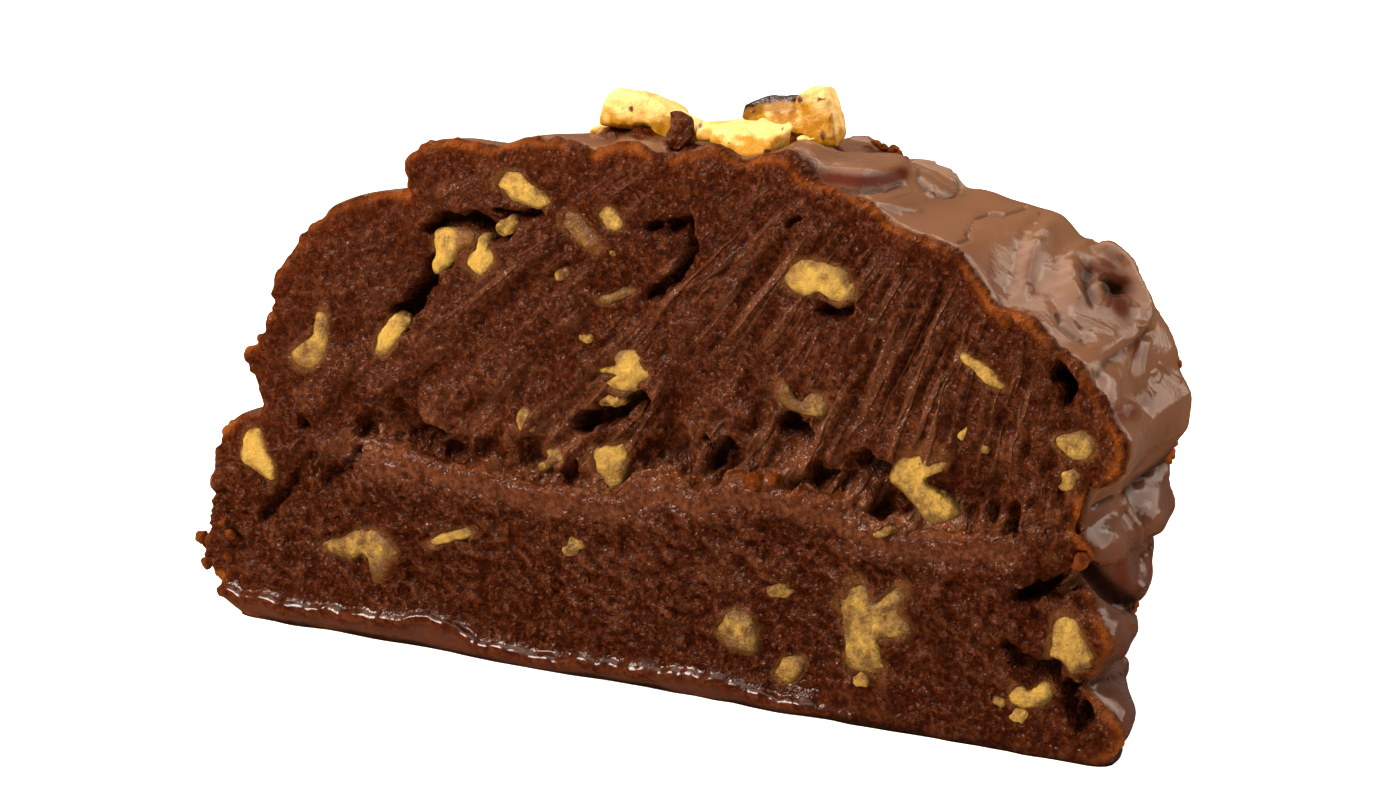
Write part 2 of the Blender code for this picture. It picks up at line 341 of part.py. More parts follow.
def thin_out(obj, faces):
    """Reduce a mesh to about this many triangles, keeping them where it curves."""
    modifier = obj.modifiers.new("Decimate", "DECIMATE")
    triangles = sum(len(polygon.vertices) - 2 for polygon in obj.data.polygons)
    modifier.ratio = min(1.0, faces / triangles)
    modifier.use_collapse_triangulate = True
    settle(obj)


def smooth_step(value):
    """Ease from 0 to 1."""
    share = np.clip(value, 0.0, 1.0)
    return share * share * (3.0 - 2.0 * share)


def lattice(cells, seed):
    """Give each whole-number cell its own value from -1 to 1."""
    mixed = cells[:, 0] * 73856093 ^ cells[:, 1] * 19349663 ^ cells[:, 2] * 83492791 ^ seed * 2654435
    mixed = (mixed ^ (mixed >> 13)) & 0xFFFFFFF
    mixed = mixed * 1274126177 & 0xFFFFFFFF
    return ((mixed >> 8) & 0xFFFF) / 32767.5 - 1.0


def lumps(points, size, seed):
    """Smooth noise from -1 to 1, whose lumps are about this size."""
    scaled = points / size
    cells = np.floor(scaled).astype(np.int64)
    blend = smooth_step(scaled - cells)
    total = np.zeros(len(points))
    for corner in itertools.product((0, 1), repeat=3):
        share = np.prod(np.where(corner, blend, 1.0 - blend), axis=1)
        total += share * lattice(cells + np.array(corner), seed)
    return total


def route_distance(points, route):
    """Measure how far each point lies from a route of straight runs, in two or three dimensions."""
    route = np.array(route, dtype=float)
    nearest = np.full(len(points), np.inf)
    for start, end in zip(route, route[1:]):
        run = end - start
        share = np.clip((points - start) @ run / (run @ run), 0.0, 1.0)
        nearest = np.minimum(nearest, np.linalg.norm(points - start - share[:, None] * run, axis=1))
    return nearest


def groove(distance, half_width):
    """Profile of a rounded groove: 1 on its line and 0 past its half width."""
    return np.clip(1.0 - (distance / half_width) ** 2, 0.0, 1.0) ** 2


def curve_through(corners, pieces):
    """Round a closed outline with a Catmull-Rom curve through its corners."""
    corners = np.array(corners, dtype=float)
    points = []
    for i in range(len(corners)):
        before, start, end, after = (corners[(i + k) % len(corners)] for k in (-1, 0, 1, 2))
        for t in np.arange(pieces) / pieces:
            points.append(0.5 * (2 * start + (end - before) * t
                                 + (2 * before - 5 * start + 4 * end - after) * t * t
                                 + (3 * start - before - 3 * end + after) * t ** 3))
    return np.array(points)


def along(line, x):
    """Height of a line given as (x, z) points."""
    return np.interp(x, [point[0] for point in line], [point[1] for point in line])


def cut_relief(x, z):
    """How far the cut face stands forward of its plane at (x, z)."""
    flat = np.stack([x, z], axis=1)
    start, full, fading, end = LEDGE_ENDS
    present = smooth_step((x - start) / (full - start)) * smooth_step((end - x) / (end - fading))
    wave_size, wave = LEDGE_WANDER
    height = z - along(LEDGE_LINE, x) - wave * lumps(np.stack([x, z * 0, z * 0], axis=1), wave_size, 5)
    above = smooth_step(0.5 + height / (2 * LEDGE_STEP))
    wall = -WALL_RECESS * np.exp(-np.maximum(height, 0) / WALL_FADE)
    drop = np.maximum(-height, 0)
    shoulder = SHOULDER * np.exp(-drop / SHOULDER_FADE) - EDGE_ROUND * np.exp(-drop / EDGE_REACH)
    relief = present * (above * wall + (1 - above) * shoulder)

    lip_top = along(LIP_LINE, x)
    lip = np.exp(-((z - lip_top + LIP_DROP) / LIP_HEIGHT) ** 2)
    relief += LIP_BULGE * lip * smooth_step((LIP_END - x) / LIP_FADE)

    from_centre = flat - np.array(FAN_CENTRE)
    turn = np.arctan2(from_centre[:, 1], from_centre[:, 0]) * FAN_RADIUS
    reach = np.linalg.norm(from_centre, axis=1)
    fan = np.stack([turn / RIDGE_SPACING, reach / RIDGE_LENGTH, 0 * turn], axis=1)
    ridges = lumps(fan, 1.0, 11) + 0.5 * lumps(fan * 2.1, 1.0, 12)
    strength = RIDGE_HEIGHT + RIDGE_NEAR_LEDGE * np.exp(-np.abs(height) / RIDGE_REACH)
    relief += above * strength * ridges * smooth_step((x - RIDGES_FROM) / (RIDGES_FULL - RIDGES_FROM))
    relief += (1 - above) * RIDGE_BELOW_LEDGE * ridges

    solid = np.stack([x, z, 0 * x], axis=1)
    for size, tall, pattern in FACE_LUMPS:
        relief += tall * lumps(solid, size, pattern)
    wobble_size, wobble_share = CREVICE_WOBBLE
    wobble = 1 + wobble_share * lumps(solid, wobble_size, 23)
    for route, half_width, depth in CREVICES:
        relief -= depth * groove(route_distance(flat, route) * wobble, half_width)
    return relief


def skin_relief(points):
    """How far the poured skin stands out along its own normal."""
    relief = np.full(len(points), SKIN_FULLNESS)
    for size, height in SKIN_LUMPS:
        relief += height * lumps(points, size, 31)
    for route, half_width, height in SKIN_FOLDS:
        relief += height * groove(route_distance(points, route), half_width)
    return relief


def back_shift(x, z):
    """Blend the shifts of the skin at the back face, nearest ones first."""
    total = np.zeros((len(x), 2))
    weights = np.zeros(len(x))
    for (at_x, at_z), shift in BACK_SHIFTS:
        weight = 1.0 / ((x - at_x) ** 2 + (z - at_z) ** 2 + SHIFT_REACH ** 2) ** 2
        total += weight[:, None] * np.array(shift)
        weights += weight
    return total / weights[:, None]


def shape_slice(points, normals):
    """Move the blank's surface, in millimetres, into the slice's own form."""
    x, y, z = points.T
    near_front = smooth_step((FRONT + FACE_REACH - y) / FACE_REACH)
    near_back = smooth_step((y - BACK + FACE_REACH) / FACE_REACH)
    back_size, back_height = BACK_LUMPS
    side = 1.0 - np.abs(normals[:, 1])
    moved = points.copy()
    moved[:, 1] -= near_front * cut_relief(x, z)
    moved[:, 1] += near_back * back_height * lumps(points, back_size, 41)
    moved += normals * (side * skin_relief(points))[:, None]
    inward = smooth_step((y - FRONT) / THICKNESS)
    shift = back_shift(x, z) * inward[:, None]
    held = np.clip(z / DRIFT_FROM, 0.0, 1.0)
    moved[:, 0] += shift[:, 0] + DRIFT * inward * held * lumps(points, DRIFT_SIZE, 51)
    moved[:, 2] += (shift[:, 1] + DRIFT * inward * lumps(points, DRIFT_SIZE, 52)) * held
    return moved


def outline_prism(name, outline, front, back):
    """Extrude a closed (x, z) outline from one Y to another."""
    form = bmesh.new()
    face = form.faces.new([form.verts.new((x, front, z)) for x, z in outline])
    made = bmesh.ops.extrude_face_region(form, geom=[face])
    far = [item for item in made["geom"] if isinstance(item, bmesh.types.BMVert)]
    bmesh.ops.translate(form, verts=far, vec=(0.0, back - front, 0.0))
    bmesh.ops.recalc_face_normals(form, faces=form.faces)
    bmesh.ops.scale(form, vec=(METRE,) * 3, verts=form.verts)
    mesh = bpy.data.meshes.new(name)
    form.to_mesh(mesh)
    form.free()
    return add_object(name, mesh)


def move_vertices(obj, shaper):
    """Pass a mesh's points and normals, in millimetres, through a shaping function."""
    mesh = obj.data
    points = np.empty(len(mesh.vertices) * 3)
    mesh.vertices.foreach_get("co", points)
    normals = np.empty(len(mesh.vertices) * 3)
    mesh.vertices.foreach_get("normal", normals)
    moved = shaper(points.reshape(-1, 3) / METRE, normals.reshape(-1, 3))
    mesh.vertices.foreach_set("co", (moved * METRE).ravel())
    mesh.update()


def flatten_base(obj):
    """Cut the slice off along its flat underside and close it with one flat face."""
    form = bmesh.new()
    form.from_mesh(obj.data)
    everything = list(form.verts) + list(form.edges) + list(form.faces)
    cut = bmesh.ops.bisect_plane(form, geom=everything, dist=1e-6, plane_co=(0, 0, 0), plane_no=(0, 0, 1),
                                 clear_inner=True)
    rim = [item for item in cut["geom_cut"] if isinstance(item, bmesh.types.BMEdge)]
    for vertex in {vertex for edge in rim for vertex in edge.verts}:
        vertex.co.z = 0.0
    bmesh.ops.edgeloop_fill(form, edges=rim)
    bmesh.ops.triangulate(form, faces=form.faces)
    bmesh.ops.recalc_face_normals(form, faces=form.faces)
    form.to_mesh(obj.data)
    form.free()


def outline_rays(centre, corners):
    """Give an outline as (angle, radius) about its middle, counterclockwise."""
    rays = []
    for x, z in corners:
        away_x, away_z = x - centre[0], z - centre[1]
        rays.append((math.atan2(away_z, away_x), math.hypot(away_x, away_z)))
    return sorted(rays)


def walnut_block(name, row, face, back, margin=0.0, mouth=0.0):
    """Build a walnut as rings from its cut face back to a rounded end, or with a margin its cutter."""
    _, (centre_x, centre_z), corners = row
    outline = outline_rays((centre_x, centre_z), corners)
    sides = len(outline)
    at_face, widest, at_back = RING_SHARES
    rings = ((face - mouth, widest if mouth else at_face), (face + WIDEST * (back - face), widest),
             (back + margin, at_back))
    form = bmesh.new()
    loops = []
    for y, share in rings:
        spots = [(turn, share * radius + margin) for turn, radius in outline]
        loops.append([form.verts.new((centre_x + radius * math.cos(turn), y, centre_z + radius * math.sin(turn)))
                      for turn, radius in spots])
    for ring, following in zip(loops, loops[1:]):
        for i in range(sides):
            j = (i + 1) % sides
            form.faces.new((ring[i], ring[j], following[j], following[i]))
    for loop, y in ((loops[0], face - mouth), (loops[-1], back + margin + TIP)):
        tip = form.verts.new((centre_x, y, centre_z))
        for i in range(sides):
            form.faces.new((loop[i], loop[(i + 1) % sides], tip))
    bmesh.ops.triangulate(form, faces=form.faces)
    bmesh.ops.recalc_face_normals(form, faces=form.faces)
    bmesh.ops.scale(form, vec=(METRE,) * 3, verts=form.verts)
    mesh = bpy.data.meshes.new(name)
    form.to_mesh(mesh)
    form.free()
    return add_object(name, mesh)


def walnut_face(corners):
    """Find the Y of a walnut's face from the cut face's mean height around it, and the walnut's length."""
    spots = np.array(corners)
    low, high = spots.min(axis=0), spots.max(axis=0)
    middle = (low + high) / 2
    length = float(np.max(high - low))
    spread = middle + np.array(list(itertools.product((-1, 0, 1), repeat=2))) * length / 4
    return FRONT - float(np.mean(cut_relief(spread[:, 0], spread[:, 1]))) - WALNUT_PROUD, length


def cut_walnuts(finish):
    """Make the walnuts of the cut face, and the cutter of each one's pocket."""
    pieces, cutters = [], []
    share, most = WALNUT_DEPTH
    for row in CUT_WALNUTS:
        name = row[0]
        face, length = walnut_face(row[2])
        back = face + min(share * length, most)
        piece = walnut_block("walnut_" + name, row, face, back)
        piece.data.materials.append(finish)
        pieces.append(piece)
        cutters.append(walnut_block("pocket_" + name, row, face, back, GAP, POCKET_MOUTH))
    return pieces, cutters


def welded_blocks(name, blocks, margin, faces, finish=None):
    """Weld blocks with blunt corners into one piece, or with a margin into its cutter."""
    form = bmesh.new()
    for block in blocks:
        corners = []
        for x, y, z in block:
            ball = bmesh.ops.create_icosphere(form, subdivisions=1, radius=CORNER_ROUND + margin)["verts"]
            bmesh.ops.translate(form, verts=ball, vec=(x, y, z))
            corners += ball
        loose = bmesh.ops.convex_hull(form, input=corners)
        spare = set(loose["geom_interior"]) | set(loose["geom_unused"])
        bmesh.ops.delete(form, geom=[item for item in spare if isinstance(item, bmesh.types.BMVert)],
                         context="VERTS")
    bmesh.ops.scale(form, vec=(METRE,) * 3, verts=form.verts)
    mesh = bpy.data.meshes.new(name)
    form.to_mesh(mesh)
    form.free()
    obj = add_object(name, mesh)
    remesh(obj, TOP_VOXEL)
    thin_out(obj, faces)
    if finish:
        obj.data.materials.append(finish)
    return obj


def top_pieces(walnut, crumb):
    """Make the pieces lying on the top, and the cutters that bed them in the skin."""
    pieces, cutters = [], []
    for name, blocks in TOP_PIECES.items():
        faces = TOP_FACES.get(name, TOP_FACES_LARGE)
        pieces.append(welded_blocks(name, blocks, 0.0, faces, crumb if name == "fudge_crumb" else walnut))
        cutters.append(welded_blocks("bed_" + name, blocks, BED_MARGIN, faces))
    return pieces, cutters


def cut_pockets(body, cutters):
    """Take all the pockets out of the slice in one Boolean."""
    holes = bpy.data.collections.new("pockets")
    bpy.context.scene.collection.children.link(holes)
    for cutter in cutters:
        holes.objects.link(cutter)
    modifier = body.modifiers.new("Pockets", "BOOLEAN")
    modifier.operation = "DIFFERENCE"
    modifier.operand_type = "COLLECTION"
    modifier.collection = holes
    settle(body)
    for cutter in cutters:
        bpy.data.objects.remove(cutter, do_unlink=True)
    bpy.data.collections.remove(holes)


def tidy_mesh(obj):
    """Merge doubled points, drop slivers and leave triangles only."""
    form = bmesh.new()
    form.from_mesh(obj.data)
    bmesh.ops.remove_doubles(form, verts=form.verts, dist=MERGE * METRE)
    bmesh.ops.dissolve_degenerate(form, edges=form.edges, dist=MERGE * METRE)
    bmesh.ops.delete(form, geom=[edge for edge in form.edges if not edge.link_faces], context="EDGES")
    bmesh.ops.delete(form, geom=[vertex for vertex in form.verts if not vertex.link_faces], context="VERTS")
    bmesh.ops.triangulate(form, faces=form.faces)
    form.to_mesh(obj.data)
    form.free()


def slice_body(finish):
    """Shape the slice: outline, skin, cut face and flat underside."""
    outline = curve_through(CUT_OUTLINE, 3)
    body = outline_prism("fudge", outline, FRONT, BACK)
    remesh(body, VOXEL)
    move_vertices(body, shape_slice)
    remesh(body, SECOND_VOXEL)
    thin_out(body, BODY_FACES)
    flatten_base(body)
    body.data.materials.append(finish)
    return body


def centre_over_base(pieces):
    """Move every mesh so that the origin is under the middle of the whole part's box."""
    points = np.array([vertex.co for piece in pieces for vertex in piece.data.vertices]) / METRE
    middle = (points.min(axis=0) + points.max(axis=0)) / 2
    middle[2] = 0.0
    for piece in pieces:
        move_vertices(piece, lambda points, normals: points - middle)


def main():
    """Build the slice and its walnuts."""
    clear_scene()
    fudge = material("fudge", FUDGE_FINISH)
    walnut = material("walnut in the cut face", WALNUT_FINISH)
    bright_walnut = material("walnut on the top", TOP_FINISH)
    crumb = material("fudge crumb", CRUMB_FINISH)
    body = slice_body(fudge)
    set_in, pockets = cut_walnuts(walnut)
    on_top, beds = top_pieces(bright_walnut, crumb)
    bpy.context.view_layer.update()
    cut_pockets(body, pockets + beds)
    tidy_mesh(body)
    bpy.context.view_layer.update()
    centre_over_base([body] + set_in + on_top)


main()
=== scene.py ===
"""Looks of a slice of chocolate walnut fudge: its skin, its rough cut face, and the walnuts in and on it.

Lengths are millimetres in the drawing's axes: X along the slice, Y from the cut face to the back, Z up.
A mesh is moved to the frame's own axes, in metres, when it is made.
"""
import itertools
import logging
import math
from collections.abc import Iterator
from contextlib import contextmanager
from dataclasses import dataclass, field
from enum import Enum

import bpy
import numpy as np
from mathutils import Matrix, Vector


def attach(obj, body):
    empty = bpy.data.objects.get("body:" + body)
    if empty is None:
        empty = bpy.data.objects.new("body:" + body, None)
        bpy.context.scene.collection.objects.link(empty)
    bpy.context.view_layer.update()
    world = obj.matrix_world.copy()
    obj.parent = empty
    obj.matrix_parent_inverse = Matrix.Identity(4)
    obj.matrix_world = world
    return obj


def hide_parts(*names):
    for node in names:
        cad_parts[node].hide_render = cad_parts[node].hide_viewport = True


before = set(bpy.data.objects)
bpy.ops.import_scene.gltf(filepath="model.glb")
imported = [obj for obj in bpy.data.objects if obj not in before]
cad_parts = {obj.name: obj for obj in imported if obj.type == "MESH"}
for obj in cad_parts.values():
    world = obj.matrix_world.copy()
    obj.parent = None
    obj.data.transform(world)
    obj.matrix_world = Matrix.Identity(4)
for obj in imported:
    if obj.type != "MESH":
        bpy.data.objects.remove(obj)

LOG = logging.getLogger("fudge")
Sockets = dict[str, bpy.types.NodeSocket]
MM = 0.001
PER_MM = 1.0 / MM
DRAWING_TO_FRAME = np.array([-0.735, 0.397, 0.0])   # from the drawing's axes to the frame's, in mm
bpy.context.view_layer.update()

FRONT, BACK = -12.0, 12.0           # planes of the cut face and of the back
BELOW = 2.0                         # how far the blank reaches below the underside before it is cut

# The cut edge seen from the front, clockwise from the lower left, as (x, z)
CUT_OUTLINE = (
    (-49.5, -BELOW), (-50.0, 0.0), (-52.5, 0.5), (-54.5, 1.5), (-56.0, 3.0), (-55.5, 4.5), (-57.0, 4.7),
    (-58.5, 5.6), (-58.4, 7.0), (-60.2, 7.6), (-59.6, 8.4), (-58.0, 9.2), (-57.6, 12.0), (-56.8, 17.0),
    (-55.8, 20.2), (-54.4, 22.5), (-52.6, 24.4), (-49.8, 25.2), (-49.8, 27.0), (-51.0, 29.2),
    (-51.8, 31.4), (-50.5, 33.0), (-48.3, 35.2), (-47.2, 37.8), (-47.0, 40.5), (-46.0, 42.4),
    (-43.5, 45.7), (-41.0, 48.0), (-39.3, 49.7), (-35.0, 51.6), (-31.0, 52.7), (-28.0, 52.8),
    (-28.4, 54.6), (-28.6, 56.0), (-27.5, 57.5), (-25.5, 58.6), (-22.6, 59.4), (-19.5, 59.3),
    (-16.7, 59.0), (-14.7, 60.0), (-11.7, 60.5), (-8.4, 60.6), (-5.6, 60.5), (-3.0, 59.7), (-1.0, 60.7),
    (2.0, 61.0), (4.4, 60.1), (6.8, 59.9), (9.0, 60.6), (11.0, 61.5), (13.0, 61.0), (14.7, 60.2),
    (17.3, 61.1), (20.5, 61.0), (22.0, 59.2), (24.5, 58.6), (28.0, 58.1), (30.7, 57.0), (32.5, 55.4),
    (36.0, 54.5), (39.5, 53.6), (41.2, 52.2), (42.7, 50.4), (45.8, 47.4), (48.4, 46.9), (50.4, 45.8),
    (52.5, 43.7), (55.0, 42.7), (56.2, 40.5), (57.7, 37.8), (59.8, 35.6), (60.0, 33.8), (59.0, 31.3),
    (57.0, 29.9), (55.4, 28.5), (55.2, 26.4), (54.9, 25.0), (56.4, 23.6), (57.2, 22.5), (56.2, 21.0),
    (54.8, 20.2), (56.6, 19.2), (57.2, 17.2), (58.5, 14.9), (59.0, 13.3), (58.4, 11.3), (57.0, 9.0),
    (57.3, 7.5), (58.6, 6.1), (60.5, 4.6), (60.9, 3.4), (60.0, 1.9), (58.8, 1.0), (56.5, 0.0),
    (56.0, -BELOW))

# How the skin at the back face lies off the cut edge: at (x, z) it is moved by (dx, dz)
BACK_SHIFTS = (
    ((-58, 6), (3.0, 0.0)), ((-50, 31), (2.0, -1.0)), ((-40, 49), (1.5, -1.5)), ((-20, 59), (0.0, -3.0)),
    ((-6, 60), (0.0, -0.5)), ((5, 60), (0.0, -1.5)), ((25, 58), (0.0, 0.0)), ((36, 54), (0.0, 0.5)),
    ((45, 48), (0.5, 4.2)), ((52, 44), (0.5, 4.0)), ((56, 41), (0.0, 1.0)), ((60, 35), (-3.5, 0.0)),
    ((55, 26), (0.0, -0.5)), ((57, 17), (-3.0, 0.0)), ((58, 11), (-6.0, 0.0)), ((60, 4), (-8.5, 0.0)))
SHIFT_REACH = 5.0

# The ledge across the cut face, as (x, z), and x where it starts, is full, starts to fade and ends
LEDGE_LINE = ((-36, 21.0), (-32.5, 22.8), (-28, 23.4), (-23, 22.8), (-12, 22.4), (-2, 21.9), (3, 23.6),
              (6.5, 24.9), (11, 24.2), (15, 26.1), (19, 26.6), (22.5, 25.3), (27, 25.0), (31, 23.9),
              (34.5, 22.6), (38, 22.7), (44, 24.0), (49, 24.7), (54, 25.0))
LEDGE_ENDS = (-40.0, -32.0, 46.0, 55.0)

# The lip along the foot of the cut face, as (x, z), and where it ends
LIP_LINE = ((-56, 3.4), (-51.5, 3.0), (-44, 2.9), (-37, 3.2), (-30, 3.8), (-23, 3.9), (-19, 2.3), (-8, 2.1),
            (2.5, 2.8), (10, 3.4), (19, 2.2), (30, 0.8))
LIP_END = 31.0

# The point above the slice that the ridges fan out from, and the radius where their spacing is measured
FAN_CENTRE = (65.0, 104.0)
FAN_RADIUS = 80.0

# Cracks and holes in the cut face: route as (x, z), half width and depth
CREVICES = (
    (((-29, 38.5), (-26.5, 42), (-23.5, 46)), 1.5, 3.4),
    (((-25, 49.5), (-22.5, 50.5), (-18.5, 50.8), (-15.5, 49.5), (-14.2, 51.5)), 1.4, 2.6),
    (((4.0, 52.4), (8.8, 52.8), (8.8, 50), (7, 47)), 1.0, 1.6),
    (((-6, 29), (-1, 31.2), (3, 33.2)), 1.6, 3.2),
    (((52.8, 41.8), (54, 40.6), (53.8, 39.5)), 1.3, 4.0),
    (((49.5, 17.8), (53.6, 19.3), (58, 20.6)), 1.4, 3.6),
    (((47.4, 11.8), (49.2, 10.6), (53, 9.4)), 1.0, 1.8),
    (((55, 8.3), (56.2, 6.5), (57.2, 5)), 1.0, 2.6),
    (((-48.2, 13.3), (-45, 17.4), (-42.2, 21)), 0.9, 0.7),
    (((-40, 18.3), (-37.3, 20.8), (-35.7, 22.2)), 0.9, 0.9),
    (((20.5, 32.3), (22.5, 31.6)), 1.5, 2.2),
    (((29.5, 29.2), (32, 28.6)), 1.8, 2.2),
    (((11.5, 27.0), (13.5, 29.0)), 1.3, 2.2))

# Small tears, pits and slits that only the fine surface shows, in the same form
SMALL_TEARS = (
    (((-29.9, 39.4), (-27.0, 41.7), (-24.1, 44.9)), 0.9, 2.2),
    (((-21.6, 50.7), (-19.7, 51.1), (-18.1, 50.7), (-15.5, 50.1)), 0.8, 1.4),
    (((-15.9, 52.7), (-12.8, 52.3), (-10.2, 52.7)), 0.6, 1.5),
    (((-43.3, 24.5), (-42.4, 24.0)), 0.8, 1.4),
    (((-29.5, 24.9), (-26.7, 25.6), (-24.1, 25.6)), 0.9, 1.5),
    (((-35.4, 24.0), (-34.2, 24.5)), 0.7, 1.1),
    (((-49.6, 12.3), (-47.3, 14.9), (-45.0, 17.7)), 0.6, 1.2),
    (((-39.2, 18.8), (-36.2, 20.6)), 0.5, 1.0),
    (((4.6, 52.9), (8.6, 53.5), (9.0, 52.1), (8.6, 49.0), (6.4, 47.1), (3.4, 44.6)), 0.8, 1.8),
    (((21.3, 54.7), (22.5, 55.4)), 0.4, 0.9),
    (((25.2, 45.5), (26.8, 45.1), (28.4, 45.9)), 0.8, 1.8),
    (((53.2, 41.9), (54.2, 41.3), (54.0, 40.4)), 0.9, 2.5),
    (((51.0, 17.9), (53.6, 18.1)), 0.6, 1.4),
    (((48.2, 10.3), (50.4, 9.9), (53.1, 10.2)), 0.6, 1.3),
    (((54.5, 6.3), (55.3, 5.3), (56.1, 4.0)), 0.8, 1.8),
    (((53.4, 8.4), (55.0, 8.3), (57.0, 9.0)), 0.5, 1.2),
    (((-1.3, 32.0), (0.6, 31.1), (1.9, 30.1)), 0.8, 1.6),
    (((10.2, 29.4), (12.7, 28.4)), 0.8, 1.4),
    (((-4.0, 28.6), (-2.6, 29.4)), 0.7, 1.2),
    (((24.4, 27.2), (26.6, 27.6)), 0.9, 1.3),
    (((34.8, 24.6), (36.9, 25.1)), 0.7, 1.2))

# Where the photograph is taken from: what it looks at, the way back to the viewer in degrees, and how far
VIEW_TARGET = (10.2, -12.0, 34.6)
VIEW_AZIMUTH = 30.0
VIEW_ELEVATION = 13.528
VIEW_DISTANCE = 420.0

# Folds of the poured skin seen from there: route as (across, up) from the target, half width and height,
# a furrow or a hole when negative
SKIN_FOLDS = (
    (((14.5, 27.9), (20.0, 27.3)), 4.5, -1.1),
    (((24.5, 26.0), (28.5, 23.5)), 3.0, -1.1),
    (((9.4, 22.6), (14.2, 22.2), (17.4, 21.8), (20.2, 22.0), (22.3, 22.9), (23.3, 24.4)), 0.6, -0.5),
    (((24.4, 23.8), (25.7, 22.8), (27.2, 22.2)), 1.31, 0.5),
    (((37.1, 19.0), (35.7, 18.1), (34.9, 16.8), (34.2, 15.1), (33.9, 13.0), (33.4, 12.0), (32.6, 10.8)),
      0.76, -0.7),
    (((37.3, 18.1), (36.0, 16.2), (35.3, 14.1), (34.9, 11.9), (34.6, 9.9)), 0.98, 0.6),
    (((39.2, 17.0), (38.5, 14.4), (38.7, 11.9), (38.5, 9.7), (39.1, 7.8), (40.5, 6.4), (42.1, 5.4)),
      0.65, -0.5),
    (((42.5, 16.1), (41.2, 15.3), (40.3, 14.2), (40.0, 13.1)), 0.65, 0.7),
    (((43.6, 15.0), (45.1, 14.6), (46.3, 13.3), (46.8, 11.6), (48.0, 9.9), (48.5, 8.5), (48.1, 7.0),
      (47.1, 5.7)), 0.76, 1.2),
    (((47.3, 13.7), (48.0, 13.1)), 0.87, 0.9),
    (((44.3, 11.8), (45.3, 11.3)), 1.2, -3.0),
    (((42.3, 13.5), (41.9, 11.8), (42.5, 9.9)), 0.9, -1.7),
    (((40.4, 12.6), (40.2, 11.0), (41.0, 9.4)), 0.6, 0.7),
    (((42.5, 10.9), (43.1, 10.0)), 1.31, 1.3),
    (((45.4, 9.6), (46.2, 8.9)), 1.2, 0.9),
    (((48.7, 7.0), (48.0, 6.1), (46.9, 5.1), (45.2, 4.1), (44.1, 3.3), (43.1, 2.1), (42.3, 0.7),
      (42.1, -0.4)), 0.54, -1.3),
    (((47.6, 5.3), (47.3, 3.7), (47.2, 2.1), (47.7, 0.4), (48.6, -1.1), (48.7, -2.3), (47.7, -3.4),
      (46.2, -4.0)), 0.54, -0.7),
    (((44.3, 1.5), (44.3, -1.2)), 1.85, 0.7),
    (((46.5, -1.7), (47.2, -2.0)), 1.53, 0.8),
    (((45.7, 0.9), (45.3, -1.1), (44.8, -2.8)), 0.54, -0.4),
    (((50.1, -0.1), (51.0, -2.8)), 2.18, 0.5),
    (((51.4, -5.0), (50.1, -6.3), (48.5, -7.6), (46.3, -9.2), (44.1, -10.5), (42.0, -11.9)), 0.44, 0.7),
    (((52.1, -5.7), (50.5, -7.3), (48.9, -8.5), (47.5, -9.5), (46.2, -10.7)), 0.76, -1.8),
    (((46.0, -10.6), (45.1, -12.1), (44.5, -13.7), (43.6, -15.9)), 0.44, 0.7),
    (((48.7, -11.0), (48.8, -13.7)), 1.96, 0.8),
    (((45.8, -13.2), (46.9, -14.8), (47.5, -17.0), (47.8, -19.2), (47.4, -21.4)), 0.44, 0.9),
    (((46.9, -13.2), (47.8, -15.1), (48.3, -17.2), (48.3, -19.2)), 0.54, -0.8),
    (((44.7, -15.9), (45.3, -17.9)), 1.74, 0.5),
    (((42.5, -19.2), (43.8, -20.6), (45.3, -21.9), (46.9, -22.8)), 1.31, -3.4),
    (((44.9, -25.2), (45.3, -27.9)), 1.53, 0.6),
    (((46.4, -24.9), (46.9, -27.4), (46.6, -29.3)), 0.44, 0.5),
    (((47.0, -30.4), (45.2, -30.8), (43.6, -31.2), (42.1, -31.8)), 0.54, -1.6),
    (((44.9, -33.4), (45.8, -34.7)), 1.85, 0.7))

# The tongue of fudge that lies on the shoulder, as (across, up) round its edge, and how thick it is
TONGUE = ((8.5, 26.0), (8.7, 23.0), (14.2, 22.8), (17.4, 22.3), (20.2, 22.6), (21.8, 23.0), (22.7, 23.9),
          (22.7, 24.9), (21.3, 25.5), (16.3, 26.6), (10.9, 26.8))
TONGUE_THICK = 1.7

